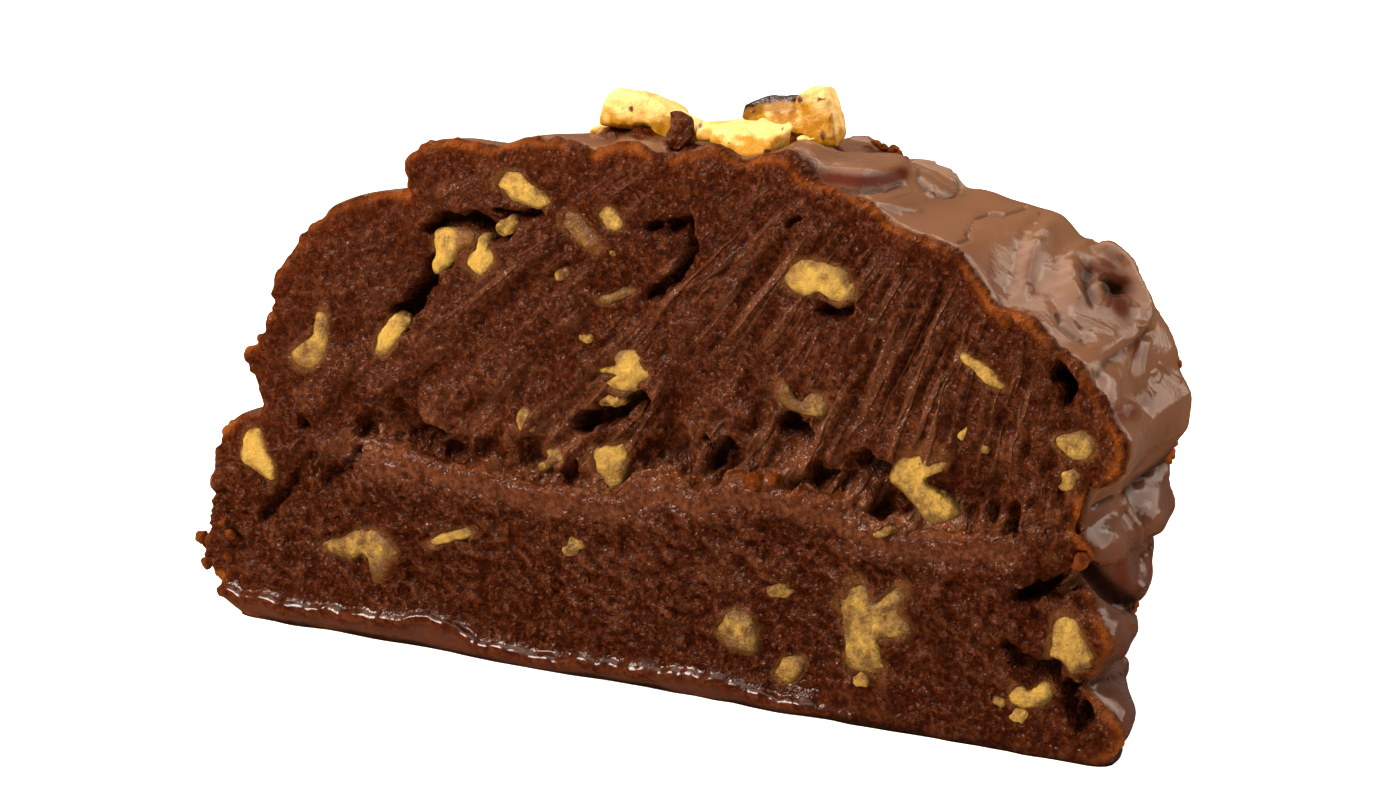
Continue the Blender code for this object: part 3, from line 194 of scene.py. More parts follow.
# Thin folds, wrinkles and cracks of the skin, in the same form
SKIN_LINES = (
    (((8.7, 22.7), (14.2, 22.5), (17.4, 22.0), (20.2, 22.2), (22.0, 22.9)), 0.3, -0.3),
    (((12.5, 21.9), (15.8, 21.8), (18.0, 21.3), (20.2, 20.6), (22.3, 20.2), (23.8, 20.0)), 0.33, 0.2),
    (((15.3, 22.2), (18.0, 21.5), (20.2, 20.4), (21.8, 19.6)), 0.33, -0.2),
    (((10.9, 24.9), (15.3, 24.6), (19.6, 24.3)), 0.22, 0.12),
    (((23.8, 24.4), (23.7, 23.3), (24.3, 22.5), (25.3, 21.8), (26.5, 21.4), (27.8, 21.6), (28.3, 22.5),
      (28.0, 23.3)), 0.27, -0.25),
    (((24.9, 21.9), (25.5, 21.7)), 0.38, 0.3),
    (((24.6, 22.1), (22.7, 21.8), (21.0, 21.1)), 0.22, -0.12),
    (((26.7, 16.1), (28.0, 16.2), (28.4, 16.6), (29.3, 16.9), (29.0, 17.5), (29.5, 18.1), (29.8, 18.7),
      (30.3, 19.2), (30.8, 19.4), (31.5, 19.7), (32.6, 19.7), (33.0, 19.4), (33.9, 19.8), (35.6, 20.3)),
      0.2, -0.3),
    (((32.6, 10.8), (33.0, 9.6), (34.0, 8.7), (35.4, 8.4), (35.9, 9.3)), 0.2, -0.3),
    (((38.8, 8.7), (39.2, 7.5), (40.5, 6.4), (42.0, 5.4)), 0.24, -0.3),
    (((41.1, 8.5), (42.5, 8.0), (44.1, 7.2), (45.0, 6.8)), 0.22, 0.22),
    (((40.8, 7.8), (41.4, 7.0), (42.7, 7.2)), 0.22, -0.2),
    (((48.9, 5.7), (48.5, 4.1), (48.3, 2.4), (48.5, 1.0), (49.4, -0.3)), 0.22, 0.25),
    (((49.2, 2.2), (49.7, 2.5), (50.2, 2.1), (49.9, 1.4), (49.4, 1.5)), 0.22, 0.2),
    (((50.1, 3.3), (51.2, 2.2), (52.3, 1.3)), 0.2, 0.2),
    (((51.0, -3.7), (50.8, -4.8)), 0.2, -0.2),
    (((48.0, -17.8), (49.3, -16.6), (50.5, -15.6)), 0.2, -0.25),
    (((42.8, -12.5), (44.1, -11.8), (45.0, -11.3)), 0.33, -0.5),
    (((44.7, -18.2), (45.8, -17.7), (46.4, -17.8)), 0.22, 0.25),
    (((46.0, -23.8), (47.1, -22.9)), 0.22, -0.3))

# Where the skin is thin and redder, and where it is painted darker red as shade, on the tongue's front wall
# under its roll and round the hole, in the same form but with how red instead of a height
SKIN_FLUSHES = (
    (((31.8, 15.0), (31.6, 11.9)), 0.54, 0.6),
    (((36.6, 15.3), (35.9, 13.7), (36.4, 11.2)), 0.98, 0.45),
    (((47.1, -1.9), (45.8, -2.4)), 1.63, 0.8),
    (((42.6, 13.6), (44.5, 13.8), (46.3, 12.0), (46.2, 9.8)), 1.7, 0.9),
    (((44.9, 10.2), (46.4, 8.3)), 1.31, 0.75),
    (((41.6, 14.4), (41.0, 13.7)), 0.65, 0.5),
    (((38.9, 8.9), (39.2, 8.0)), 0.49, 0.8),
    (((47.7, 5.7), (47.3, 4.0)), 0.54, 0.9),
    (((46.0, -18.6), (46.2, -20.5)), 0.98, 0.9),
    # The tongue's front wall, painted dark red as shade under the roll
    (((8.7, 23.7), (14.2, 23.5), (17.4, 23.1), (20.2, 23.3), (22.0, 24.0)), 1.3, 1.3),
    (((42.3, 16.5), (43.6, 15.6), (45.8, 14.8)), 0.76, 0.4))

# Rough broken fudge on the top, round the walnuts there: middle (x, y), reach and height
TORN_TOP = (
    ((13.0, 3.0), 3.4, 1.7), ((17.5, 3.5), 2.6, 0.7), ((16.0, -2.5), 2.6, 0.3), ((4.5, -7.5), 2.8, 0.6),
    ((-1.0, -6.0), 2.6, 0.4), ((9.5, -8.5), 2.2, 0.3), ((0.5, -7.5), 5.0, 0.35), ((7.0, -8.0), 5.0, 0.35),
    ((12.0, -9.5), 4.0, 0.3), ((21.0, 9.0), 4.0, 0.3), ((16.5, 1.0), 3.0, 0.35), ((-4.8, -4.4), 2.8, 1.5),
    ((-0.8, -4.6), 3.0, 1.3), ((4.0, -4.8), 2.6, 0.9))

# Dark specks on the walnuts on the top: middle (x, z) and reach
SPECKS = (
    ((-1.5, 64.2), 0.6), ((12.9, 62.3), 0.4), ((12.4, 61.5), 0.4), ((9.5, 61.6), 0.35), ((8.2, 63.4), 0.35),
    ((18.6, 64.1), 0.4), ((17.5, 61.6), 0.7), ((14.6, 65.4), 0.45))

# Upper edge of the thin dark skin on the walnut at the right of the top, as (x, z)
DARK_SKIN = ((6.0, 63.3), (6.8, 63.9), (8.2, 64.6), (10.2, 65.2), (14.5, 65.6))

# Walnuts in the cut face: name, how browned, a middle that sees the whole outline, and the outline, as (x, z)
CUT_WALNUTS = (
    ("wedge", 0.2, (-12.8, 55.2), (
        (-16.2, 56.1), (-15.2, 57.0), (-13.8, 57.5), (-12.4, 57.1), (-10.9, 55.9), (-9.6, 54.9),
        (-8.9, 54.0), (-9.6, 53.4), (-10.9, 53.2), (-12.6, 53.4), (-14.1, 53.8), (-14.9, 54.7),
        (-16.1, 55.2))),
    ("pair_left", 0.2, (-22.8, 47.6), (
        (-24.6, 49.2), (-23.4, 49.7), (-21.5, 49.8), (-19.9, 49.7), (-19.2, 49.1), (-19.6, 48.2),
        (-20.8, 47.3), (-21.6, 46.6), (-22.4, 45.8), (-23.6, 44.5), (-24.9, 44.2), (-25.0, 45.3),
        (-24.7, 46.6), (-24.7, 48.0))),
    ("pair_right", 0.0, (-18.3, 46.7), (
        (-18.9, 49.0), (-18.2, 49.5), (-17.2, 49.6), (-16.9, 49.0), (-17.2, 48.2), (-16.5, 47.8),
        (-16.1, 46.6), (-16.9, 45.7), (-17.6, 44.8), (-18.4, 44.4), (-19.6, 44.9), (-20.5, 45.6),
        (-20.4, 46.4), (-19.7, 47.2), (-19.0, 47.9))),
    ("brown_skinned", 1.0, (-5.0, 51.0), (
        (-7.6, 52.4), (-7.0, 53.3), (-6.0, 53.4), (-5.0, 52.9), (-3.9, 51.9), (-2.9, 50.9), (-2.4, 50.0),
        (-2.7, 49.2), (-3.6, 48.8), (-4.6, 49.0), (-5.6, 49.6), (-6.7, 50.6), (-7.6, 51.5))),
    ("beside_brown", 0.45, (-0.9, 53.0), (
        (-2.9, 53.4), (-2.2, 54.2), (-1.2, 54.7), (-0.3, 54.3), (0.4, 53.3), (0.8, 52.6), (0.5, 51.8),
        (-0.5, 51.4), (-1.5, 51.7), (-2.3, 52.6))),
    ("sliver", 0.95, (-0.8, 44.2), (
        (-3.2, 43.9), (-2.3, 44.3), (-1.2, 44.7), (0.0, 45.2), (0.9, 45.4), (1.7, 45.1), (1.6, 44.6),
        (-0.3, 43.8), (-1.3, 43.3), (-2.5, 43.0), (-3.2, 43.2))),
    ("left_tall", 0.6, (-41.2, 34.0), (
        (-44.5, 32.2), (-44.4, 33.4), (-43.3, 34.3), (-41.9, 35.1), (-41.2, 36.0), (-41.0, 37.2),
        (-40.6, 38.6), (-39.7, 38.9), (-39.1, 38.0), (-39.0, 36.6), (-39.1, 35.4), (-39.3, 34.2),
        (-39.9, 32.9), (-40.5, 31.9), (-41.6, 31.2), (-43.0, 31.0), (-44.2, 31.4))),
    ("left_round", 0.2, (-30.9, 36.4), (
        (-31.7, 37.7), (-31.0, 38.6), (-30.0, 39.1), (-28.9, 39.0), (-28.2, 38.4), (-28.3, 37.7),
        (-29.0, 37.1), (-29.6, 36.4), (-30.0, 35.4), (-30.8, 34.5), (-31.6, 33.9), (-32.8, 33.8),
        (-33.3, 34.4), (-33.1, 35.4), (-32.8, 36.3), (-32.3, 37.0))),
    ("slotted", 0.3, (1.0, 35.8), (
        (-3.5, 35.8), (-2.0, 36.3), (-1.0, 36.5), (-1.1, 37.4), (-0.6, 38.2), (0.4, 38.5), (1.5, 38.4),
        (2.4, 37.9), (3.3, 37.0), (4.0, 36.2), (3.7, 35.4), (2.9, 34.9), (2.0, 34.0), (0.9, 33.2),
        (-0.3, 33.2), (-1.3, 33.6), (-2.6, 34.2), (-1.4, 35.0), (-0.6, 35.4), (-2.0, 35.3))),
    ("upper_right_long", 0.2, (24.6, 48.7), (
        (19.6, 48.6), (20.3, 49.6), (21.3, 50.6), (22.4, 51.0), (24.2, 51.1), (26.0, 50.8), (27.6, 50.3),
        (28.6, 49.4), (29.0, 48.2), (28.8, 47.2), (28.0, 46.5), (26.6, 46.4), (25.5, 47.0), (24.4, 47.3),
        (23.0, 46.8), (21.3, 47.1), (20.1, 47.8))),
    ("half_covered", 1.0, (22.2, 34.5), (
        (19.1, 36.2), (19.7, 37.3), (20.6, 37.1), (21.5, 35.8), (22.3, 35.3), (23.0, 35.8), (23.6, 36.5),
        (24.8, 36.4), (25.6, 36.0), (26.0, 35.2), (26.0, 34.2), (25.0, 33.6), (23.5, 33.7), (22.0, 33.8),
        (20.7, 33.9), (19.8, 34.5), (19.4, 35.3))),
    ("right_long", 0.35, (44.2, 41.2), (
        (41.2, 42.8), (41.8, 43.2), (42.9, 43.0), (44.0, 42.4), (45.2, 41.5), (46.4, 40.5), (47.3, 39.8),
        (46.9, 39.3), (45.6, 39.3), (44.6, 39.7), (43.6, 40.5), (42.5, 41.4), (41.5, 42.1))),
    ("left_lobe", 0.05, (-49.8, 20.2), (
        (-50.9, 23.1), (-49.7, 23.3), (-48.8, 22.7), (-48.3, 21.6), (-48.0, 20.5), (-47.4, 19.2),
        (-47.3, 18.0), (-47.6, 17.2), (-48.4, 17.2), (-49.4, 17.6), (-50.7, 18.3), (-51.8, 18.9),
        (-52.2, 20.0), (-51.9, 21.3), (-51.6, 22.3))),
    ("low_arch", 0.75, (-34.2, 11.2), (
        (-40.8, 10.4), (-39.8, 11.0), (-38.2, 11.5), (-37.0, 12.1), (-35.6, 12.9), (-34.0, 13.3),
        (-32.5, 13.3), (-31.0, 12.9), (-30.1, 11.9), (-30.0, 10.8), (-30.8, 9.8), (-31.4, 8.9),
        (-32.2, 7.8), (-33.0, 7.2), (-33.8, 7.6), (-34.0, 8.8), (-34.7, 9.6), (-35.7, 9.7), (-36.6, 9.0),
        (-38.0, 9.2), (-39.6, 9.6))),
    ("low_sliver", 0.4, (-22.3, 14.0), (
        (-25.5, 12.9), (-24.8, 13.7), (-23.8, 14.4), (-22.5, 14.8), (-21.2, 15.2), (-20.0, 15.5),
        (-19.2, 15.2), (-19.0, 14.7), (-20.0, 14.2), (-21.3, 13.7), (-22.4, 13.2), (-23.6, 12.8),
        (-24.8, 12.5))),
    ("ledge_block", 0.35, (-1.9, 25.0), (
        (-4.2, 26.7), (-3.0, 27.0), (-1.6, 27.5), (-0.6, 28.0), (0.2, 27.7), (0.4, 26.6), (0.2, 25.3),
        (-0.1, 24.0), (-0.5, 22.8), (-1.3, 22.0), (-2.2, 21.9), (-2.7, 22.6), (-3.4, 23.3), (-4.2, 24.0),
        (-4.5, 25.2))),
    ("ledge_dim", 0.8, (-9.3, 24.6), (
        (-11.6, 23.6), (-10.7, 24.1), (-10.3, 24.8), (-10.6, 25.5), (-9.6, 26.2), (-8.6, 26.1),
        (-7.9, 25.4), (-7.6, 24.6), (-8.4, 24.0), (-9.4, 23.5), (-10.2, 23.0), (-11.2, 22.8))),
    ("hooked", 0.3, (36.4, 28.2), (
        (32.9, 27.6), (33.0, 28.8), (33.6, 29.9), (34.7, 30.6), (36.0, 31.4), (37.4, 32.1), (38.8, 32.3),
        (39.9, 31.7), (40.1, 30.6), (39.5, 29.7), (37.7, 28.8), (37.3, 28.1), (37.9, 27.5), (39.2, 26.8),
        (40.6, 26.0), (41.4, 25.0), (40.6, 24.2), (39.2, 23.6), (37.8, 23.3), (36.8, 23.9), (36.0, 24.9),
        (35.0, 26.0), (33.8, 26.9))),
    ("right_oval", 0.5, (54.9, 34.4), (
        (52.3, 34.9), (53.0, 35.4), (54.0, 35.8), (55.2, 36.0), (56.4, 35.8), (57.2, 35.2), (57.3, 34.3),
        (56.8, 33.4), (55.8, 32.9), (54.7, 32.8), (53.6, 33.3), (52.7, 34.0))),
    ("low_middle", 0.8, (15.2, 8.5), (
        (12.3, 8.4), (12.9, 9.3), (13.3, 10.2), (14.2, 10.9), (15.6, 11.1), (16.5, 10.8), (17.1, 9.8),
        (17.5, 8.6), (17.7, 7.4), (17.6, 6.4), (16.4, 6.0), (15.0, 6.1), (13.8, 6.5), (12.8, 7.2))),
    ("low_middle_small", 0.7, (21.5, 5.0), (
        (19.9, 5.3), (20.5, 6.2), (21.4, 6.6), (22.6, 6.8), (23.4, 6.6), (23.7, 5.9), (23.3, 5.2),
        (22.6, 4.4), (22.1, 3.6), (21.4, 3.2), (20.3, 3.3), (19.4, 3.9), (19.4, 4.6))),
    ("largest", 0.65, (31.3, 12.0), (
        (27.4, 12.9), (27.6, 14.1), (28.2, 15.4), (29.0, 16.2), (30.0, 17.0), (31.2, 16.6), (31.5, 15.3),
        (32.1, 14.7), (33.2, 15.4), (34.4, 16.6), (35.4, 17.0), (36.2, 16.4), (35.9, 15.2), (35.2, 14.2),
        (35.4, 13.0), (36.2, 12.0), (36.2, 11.2), (35.0, 10.6), (33.6, 10.4), (32.6, 9.9), (32.8, 8.6),
        (33.3, 7.2), (33.4, 6.2), (31.6, 6.1), (30.0, 6.2), (28.6, 6.5), (28.4, 7.8), (28.3, 9.2),
        (28.0, 10.6), (28.1, 12.0))),
    ("right_block", 0.35, (54.8, 13.0), (
        (53.6, 16.2), (54.4, 16.5), (55.3, 16.2), (55.9, 15.4), (56.5, 14.2), (57.1, 13.0), (57.6, 11.9),
        (57.2, 11.0), (56.6, 10.4), (55.9, 9.8), (55.0, 9.7), (54.4, 10.4), (53.7, 11.0), (52.3, 11.1),
        (52.3, 12.2), (52.5, 13.2), (52.7, 14.4), (52.9, 15.4))),
    ("right_low", 0.35, (50.4, 6.4), (
        (48.2, 7.3), (48.9, 7.9), (49.6, 7.7), (50.1, 7.2), (50.7, 7.6), (51.2, 8.0), (52.2, 8.4),
        (53.0, 7.9), (52.8, 6.9), (52.3, 5.9), (51.3, 5.4), (50.2, 5.1), (49.0, 5.1), (48.1, 5.4),
        (48.0, 6.3))))

# Small bits of walnut in the cut face: middle (x, z), length, height, tilt in degrees and how browned
WALNUT_BITS = (
    ((-15.0, 50.7), 3.0, 1.6, 30, 1.0), ((-7.6, 46.1), 2.0, 1.7, 20, 1.0), ((-4.5, 39.1), 2.0, 1.2, 10, 0.9),
    ((-1.2, 32.4), 2.8, 1.1, 12, 1.0), ((-12.3, 28.8), 2.7, 2.2, 40, 0.9), ((-6.0, 15.0), 2.9, 1.7, 30, 1.0),
    ((53.7, 30.8), 3.1, 2.5, 20, 0.9), ((42.2, 34.1), 3.1, 1.4, 18, 0.7), ((44.3, 32.6), 1.2, 1.3, 0, 0.9),
    ((20.4, 13.9), 2.9, 1.6, 10, 1.0), ((49.2, 4.1), 2.5, 1.5, 16, 0.5), ((30.2, 5.1), 2.4, 1.6, 15, 0.7),
    ((47.0, 5.4), 1.3, 0.9, 0, 1.0), ((33.2, 22.3), 2.2, 1.0, 10, 1.0), ((-0.7, 49.3), 1.0, 0.7, 0, 1.0))

# Rough crumbs of fudge along the back edge, the cut edge and the left end: middle (x, y, z) and reach
CRUMBS = (
    ((15.6, 11.4, 58.9), 0.7), ((17.0, 11.4, 59.3), 0.8), ((18.1, 11.4, 59.2), 0.6),
    ((19.2, 11.4, 59.2), 0.8), ((20.5, 11.4, 58.9), 0.6), ((21.5, 11.4, 58.8), 0.8),
    ((22.2, 11.4, 58.3), 0.7), ((23.1, 11.4, 57.9), 0.5), ((54.7, 11.4, 39.9), 0.9),
    ((55.5, 11.4, 39.3), 0.9), ((56.1, 11.4, 38.5), 0.9), ((55.6, 11.6, 29.7), 0.7),
    ((55.4, 11.6, 28.6), 0.8), ((55.2, 11.6, 27.6), 0.7), ((54.3, 11.6, 26.5), 0.9),
    ((54.7, 11.6, 25.4), 0.6), ((54.9, 11.6, 24.3), 0.8), ((55.2, 11.6, 23.2), 0.7),
    ((51.9, 11.6, 10.9), 0.6), ((51.7, 11.6, 9.9), 0.6), ((55.9, -12.0, 22.1), 1.0),
    ((46.6, -12.0, 46.8), 0.8), ((17.6, -12.9, 25.9), 1.1), ((20.0, -12.6, 26.4), 0.7),
    ((-58.7, -11.6, 8.8), 0.7), ((-57.8, -12.0, 5.8), 0.7), ((-54.3, -12.4, 6.9), 0.6),
    ((-53.9, -12.4, 9.9), 0.6), ((-54.7, -12.4, 11.4), 0.5))

# The flake of walnut on the top: its middle (x, y, z)
FLAKE = (16.4, 0.6, 61.4)


def smooth_step(value: np.ndarray) -> np.ndarray:
    """Ease from 0 to 1.

    Args:
        value: Numbers of any size; those outside 0 to 1 are held at the ends.

    Returns:
        Eased numbers from 0 to 1.
    """
    share = np.clip(value, 0.0, 1.0)
    return share * share * (3.0 - 2.0 * share)


def lattice(cells: np.ndarray, seed: int) -> np.ndarray:
    """Give each whole-number cell its own value.

    Args:
        cells: Rows of three whole numbers.
        seed: Picks one pattern of values.

    Returns:
        One value from -1 to 1 for each row.
    """
    mixed = cells[:, 0] * 73856093 ^ cells[:, 1] * 19349663 ^ cells[:, 2] * 83492791 ^ seed * 2654435
    mixed = (mixed ^ (mixed >> 13)) & 0xFFFFFFF
    mixed = mixed * 1274126177 & 0xFFFFFFFF
    return ((mixed >> 8) & 0xFFFF) / 32767.5 - 1.0


def as_points(*lengths: np.ndarray) -> np.ndarray:
    """Stack lengths into rows of three, with zeros for those left out."""
    missing = [0 * lengths[0]] * (3 - len(lengths))
    return np.stack([*lengths, *missing], axis=1)


def lumps(points: np.ndarray, size: float | tuple, seed: int) -> np.ndarray:
    """Make smooth noise.

    Args:
        points: Rows of three lengths.
        size: About how wide one lump is, or its width along each axis.
        seed: Picks one pattern.

    Returns:
        One value from -1 to 1 for each point.
    """
    scaled = points / np.array(size)
    cells = np.floor(scaled).astype(np.int64)
    blend = smooth_step(scaled - cells)
    total = np.zeros(len(points))
    for corner in itertools.product((0, 1), repeat=3):
        share = np.prod(np.where(corner, blend, 1.0 - blend), axis=1)
        total += share * lattice(cells + np.array(corner), seed)
    return total


def grains(points: np.ndarray, size: float, seed: int) -> np.ndarray:
    """Make round grains, each with its own place and height.

    Args:
        points: Rows of three lengths.
        size: Spacing of the grains.
        seed: Picks one pattern.

    Returns:
        Height from 0 between the grains to 1 on the tallest grain.
    """
    scaled = points / size
    cells = np.floor(scaled).astype(np.int64)
    height = np.zeros(len(points))
    for corner in itertools.product((-1, 0, 1), repeat=3):
        cell = cells + np.array(corner)
        centre = cell + 0.5 + 0.4 * np.stack([lattice(cell, seed + k) for k in range(3)], axis=1)
        apart = np.linalg.norm(scaled - centre, axis=1)
        tall = 0.65 + 0.35 * lattice(cell, seed + 3)
        height = np.maximum(height, tall * np.clip(1.0 - (apart / 0.62) ** 2, 0.0, 1.0))
    return height


def route_distance(points: np.ndarray, route: tuple) -> np.ndarray:
    """Measure how far each point lies from a route of straight runs.

    Args:
        points: Rows of two or three lengths.
        route: Corners of the route, with as many numbers each as a point.

    Returns:
        Distance of each point from the route.
    """
    corners = np.array(route, dtype=float)
    nearest = np.full(len(points), np.inf)
    for start, end in zip(corners, corners[1:]):
        run = end - start
        share = np.clip((points - start) @ run / (run @ run), 0.0, 1.0)
        nearest = np.minimum(nearest, np.linalg.norm(points - start - share[:, None] * run, axis=1))
    return nearest


def groove(distance: np.ndarray, half_width: float) -> np.ndarray:
    """Give the profile of a rounded groove: 1 on its line and 0 past its half width."""
    return np.clip(1.0 - (distance / half_width) ** 2, 0.0, 1.0) ** 2


def grooves(flat: np.ndarray, rows: tuple) -> np.ndarray:
    """Add up the profiles of many routes.

    Args:
        flat: Rows of two lengths.
        rows: Each route with its half width and its height.

    Returns:
        The height at each place.
    """
    height = np.zeros(len(flat))
    for route, half_width, tall in rows:
        height += tall * groove(route_distance(flat, route), half_width)
    return height


def inside_outline(flat: np.ndarray, outline: tuple, ramp: float) -> np.ndarray:
    """Tell the inside of a closed outline from its outside.

    Args:
        flat: Rows of two lengths.
        outline: Corners of the outline.
        ramp: How wide the change from outside to inside is.

    Returns:
        Share of each place from 0 outside to 1 inside.
    """
    closed = np.array(outline + outline[:1])
    inside = np.zeros(len(flat), dtype=bool)
    for start, end in zip(closed, closed[1:]):
        crosses = (start[1] > flat[:, 1]) != (end[1] > flat[:, 1])
        at = start[0] + (flat[:, 1] - start[1]) * (end[0] - start[0]) / (end[1] - start[1] + 1e-12)
        inside ^= crosses & (flat[:, 0] < at)
    return smooth_step(0.5 + np.where(inside, 1, -1) * route_distance(flat, tuple(closed)) / ramp)


def view_axes() -> tuple[np.ndarray, np.ndarray, np.ndarray]:
    """Find how the photograph's view is turned.

    Returns:
        The directions to its right, up and back to the viewer.
    """
    turn, tilt = math.radians(VIEW_AZIMUTH), math.radians(VIEW_ELEVATION)
    back = np.array([math.sin(turn) * math.cos(tilt), -math.cos(turn) * math.cos(tilt), math.sin(tilt)])
    right = np.array([math.cos(turn), math.sin(turn), 0.0])
    return right, np.cross(back, right), back


def seen_places(points: np.ndarray) -> np.ndarray:
    """Project places along the lines of sight onto the plane through the view's target.

    Args:
        points: Rows of (x, y, z).

    Returns:
        Rows of (across, up), measured from the target.
    """
    right, up, back = view_axes()
    away = points - np.array(VIEW_TARGET)
    nearer = VIEW_DISTANCE / (VIEW_DISTANCE - away @ back)
    return np.stack([away @ right, away @ up], axis=1) * nearer[:, None]


def facing_share(normals: np.ndarray) -> np.ndarray:
    """Give how fully each place faces the viewer, from 0 to 1."""
    return smooth_step(normals @ view_axes()[2] / 0.3)


def along(line: tuple, x: np.ndarray) -> np.ndarray:
    """Give the height at x of a line of (x, z) points."""
    return np.interp(x, [point[0] for point in line], [point[1] for point in line])


def curve_through(corners: tuple, pieces: int) -> np.ndarray:
    """Round a closed outline with a Catmull-Rom curve.

    Args:
        corners: Corners of the outline, as (x, z).
        pieces: How many points to make from each corner to the next.

    Returns:
        Rows of (x, z).
    """
    spots = np.array(corners, dtype=float)
    points = []
    for i in range(len(spots)):
        before, start, end, after = (spots[(i + k) % len(spots)] for k in (-1, 0, 1, 2))
        for t in np.arange(pieces) / pieces:
            points.append(0.5 * (2 * start + (end - before) * t
                                 + (2 * before - 5 * start + 4 * end - after) * t * t
                                 + (3 * start - before - 3 * end + after) * t ** 3))
    return np.array(points)


def deselect_all() -> None:
    """Leave nothing selected, in object mode."""
    if bpy.context.object and bpy.context.object.mode != "OBJECT":
        bpy.ops.object.mode_set(mode="OBJECT")
    bpy.ops.object.select_all(action="DESELECT")


def pick(obj: bpy.types.Object) -> None:
    """Make one object the active and only selected one.

    Args:
        obj: The object.
    """
    deselect_all()
    obj.select_set(True)
    bpy.context.view_layer.objects.active = obj


def read_rows(items: bpy.types.bpy_prop_collection, name: str) -> np.ndarray:
    """Read one vector of each vertex or face.

    Args:
        items: A mesh's vertices or its polygons.
        name: The vector's name, such as co or normal.

    Returns:
        Rows of three numbers.
    """
    values = np.empty(len(items) * 3)
    items.foreach_get(name, values)
    return values.reshape(-1, 3)


def surface(items: bpy.types.bpy_prop_collection) -> tuple[np.ndarray, np.ndarray]:
    """Read where vertices or faces lie and which way they face.

    Args:
        items: A mesh's vertices or its polygons.

    Returns:
        Rows of millimetres in the drawing's axes, and rows of normals.
    """
    name = "center" if isinstance(items[0], bpy.types.MeshPolygon) else "co"
    return read_rows(items, name) / MM - DRAWING_TO_FRAME, read_rows(items, "normal")


def put_points(obj: bpy.types.Object, points: np.ndarray) -> None:
    """Move a mesh's vertices to these millimetres in the drawing's axes."""
    obj.data.vertices.foreach_set("co", ((points + DRAWING_TO_FRAME) * MM).ravel())
    obj.data.update()


def put_attributes(obj: bpy.types.Object, **attributes: np.ndarray | float) -> None:
    """Store numbers, or vectors, for each vertex for a material to read.

    Args:
        obj: The piece.
        **attributes: By the attribute's name, one number or one row of three for each vertex, or one for all.
    """
    for name, values in attributes.items():
        kind, slot, wide = ("FLOAT_VECTOR", "vector", 3) if np.ndim(values) == 2 else ("FLOAT", "value", 1)
        made = obj.data.attributes.new(name, kind, "POINT")
        filled = np.empty(len(obj.data.vertices) * wide, dtype=np.float32)
        filled[:] = np.ravel(values)
        made.data.foreach_set(slot, filled)


def apply_modifier(obj: bpy.types.Object, kind: str, **settings: object) -> None:
    """Give an object a modifier and apply it.

    Args:
        obj: The object to change.
        kind: The modifier's type.
        **settings: The modifier's options.
    """
    pick(obj)
    modifier = obj.modifiers.new(kind.capitalize(), kind)
    for name, value in settings.items():
        setattr(modifier, name, value)
    bpy.ops.object.modifier_apply(modifier=modifier.name)


def even_grain(obj: bpy.types.Object, width: float) -> None:
    """Rebuild an object's surface as one closed skin of even faces, this many millimetres wide."""
    apply_modifier(obj, "REMESH", mode="VOXEL", voxel_size=width * MM)


@contextmanager
def editing(obj: bpy.types.Object, chosen: np.ndarray | None = None) -> Iterator[None]:
    """Edit an object with just these faces selected, and leave edit mode at the end.

    Args:
        obj: The object to edit.
        chosen: True for each face to select; all of them when left out.

    Yields:
        Nothing, while the object is in edit mode.
    """
    pick(obj)
    mesh = obj.data
    bpy.context.tool_settings.mesh_select_mode = (False, False, True)
    for items, state in ((mesh.vertices, False), (mesh.edges, False), (mesh.polygons, True)):
        items.foreach_set("select", np.full(len(items), state))
    if chosen is not None:
        mesh.polygons.foreach_set("select", chosen)
    bpy.ops.object.mode_set(mode="EDIT")
    yield
    bpy.ops.object.mode_set(mode="OBJECT")


def soften(obj: bpy.types.Object) -> None:
    """Smooth the steps that an even grain leaves."""
    with editing(obj):
        bpy.ops.mesh.vertices_smooth(factor=0.5, repeat=2)


def upright_face(x: np.ndarray, z: np.ndarray, y: float) -> bpy.types.Object:
    """Make one upright face with this outline.

    Args:
        x: The outline's corners along the slice.
        z: The same corners' heights.
        y: The plane that the face stands in.

    Returns:
        The face.
    """
    deselect_all()
    bpy.ops.mesh.primitive_circle_add(vertices=len(x), radius=MM, fill_type="NGON")
    made = bpy.context.object
    put_points(made, np.stack([x, np.full(len(x), y), z], axis=1))
    return made


def extrude_back(obj: bpy.types.Object, steps: tuple, middle: tuple = (0.0, 0.0, 0.0),
                 back_share: float = 1.0) -> None:
    """Turn an upright face into a block.

    Args:
        obj: The face.
        steps: How far to extrude each time, in mm.
        middle: The back's middle.
        back_share: How wide and tall the back is, as a share of the front.
    """
    with editing(obj):
        for step in steps:
            bpy.ops.mesh.extrude_region_move(TRANSFORM_OT_translate={"value": (0.0, step * MM, 0.0)})
        centre = (np.array(middle) + DRAWING_TO_FRAME) * MM
        bpy.ops.transform.resize(value=(back_share, 1.0, back_share), center_override=tuple(centre))
        bpy.ops.mesh.select_all(action="SELECT")
        bpy.ops.mesh.normals_make_consistent(inside=False)


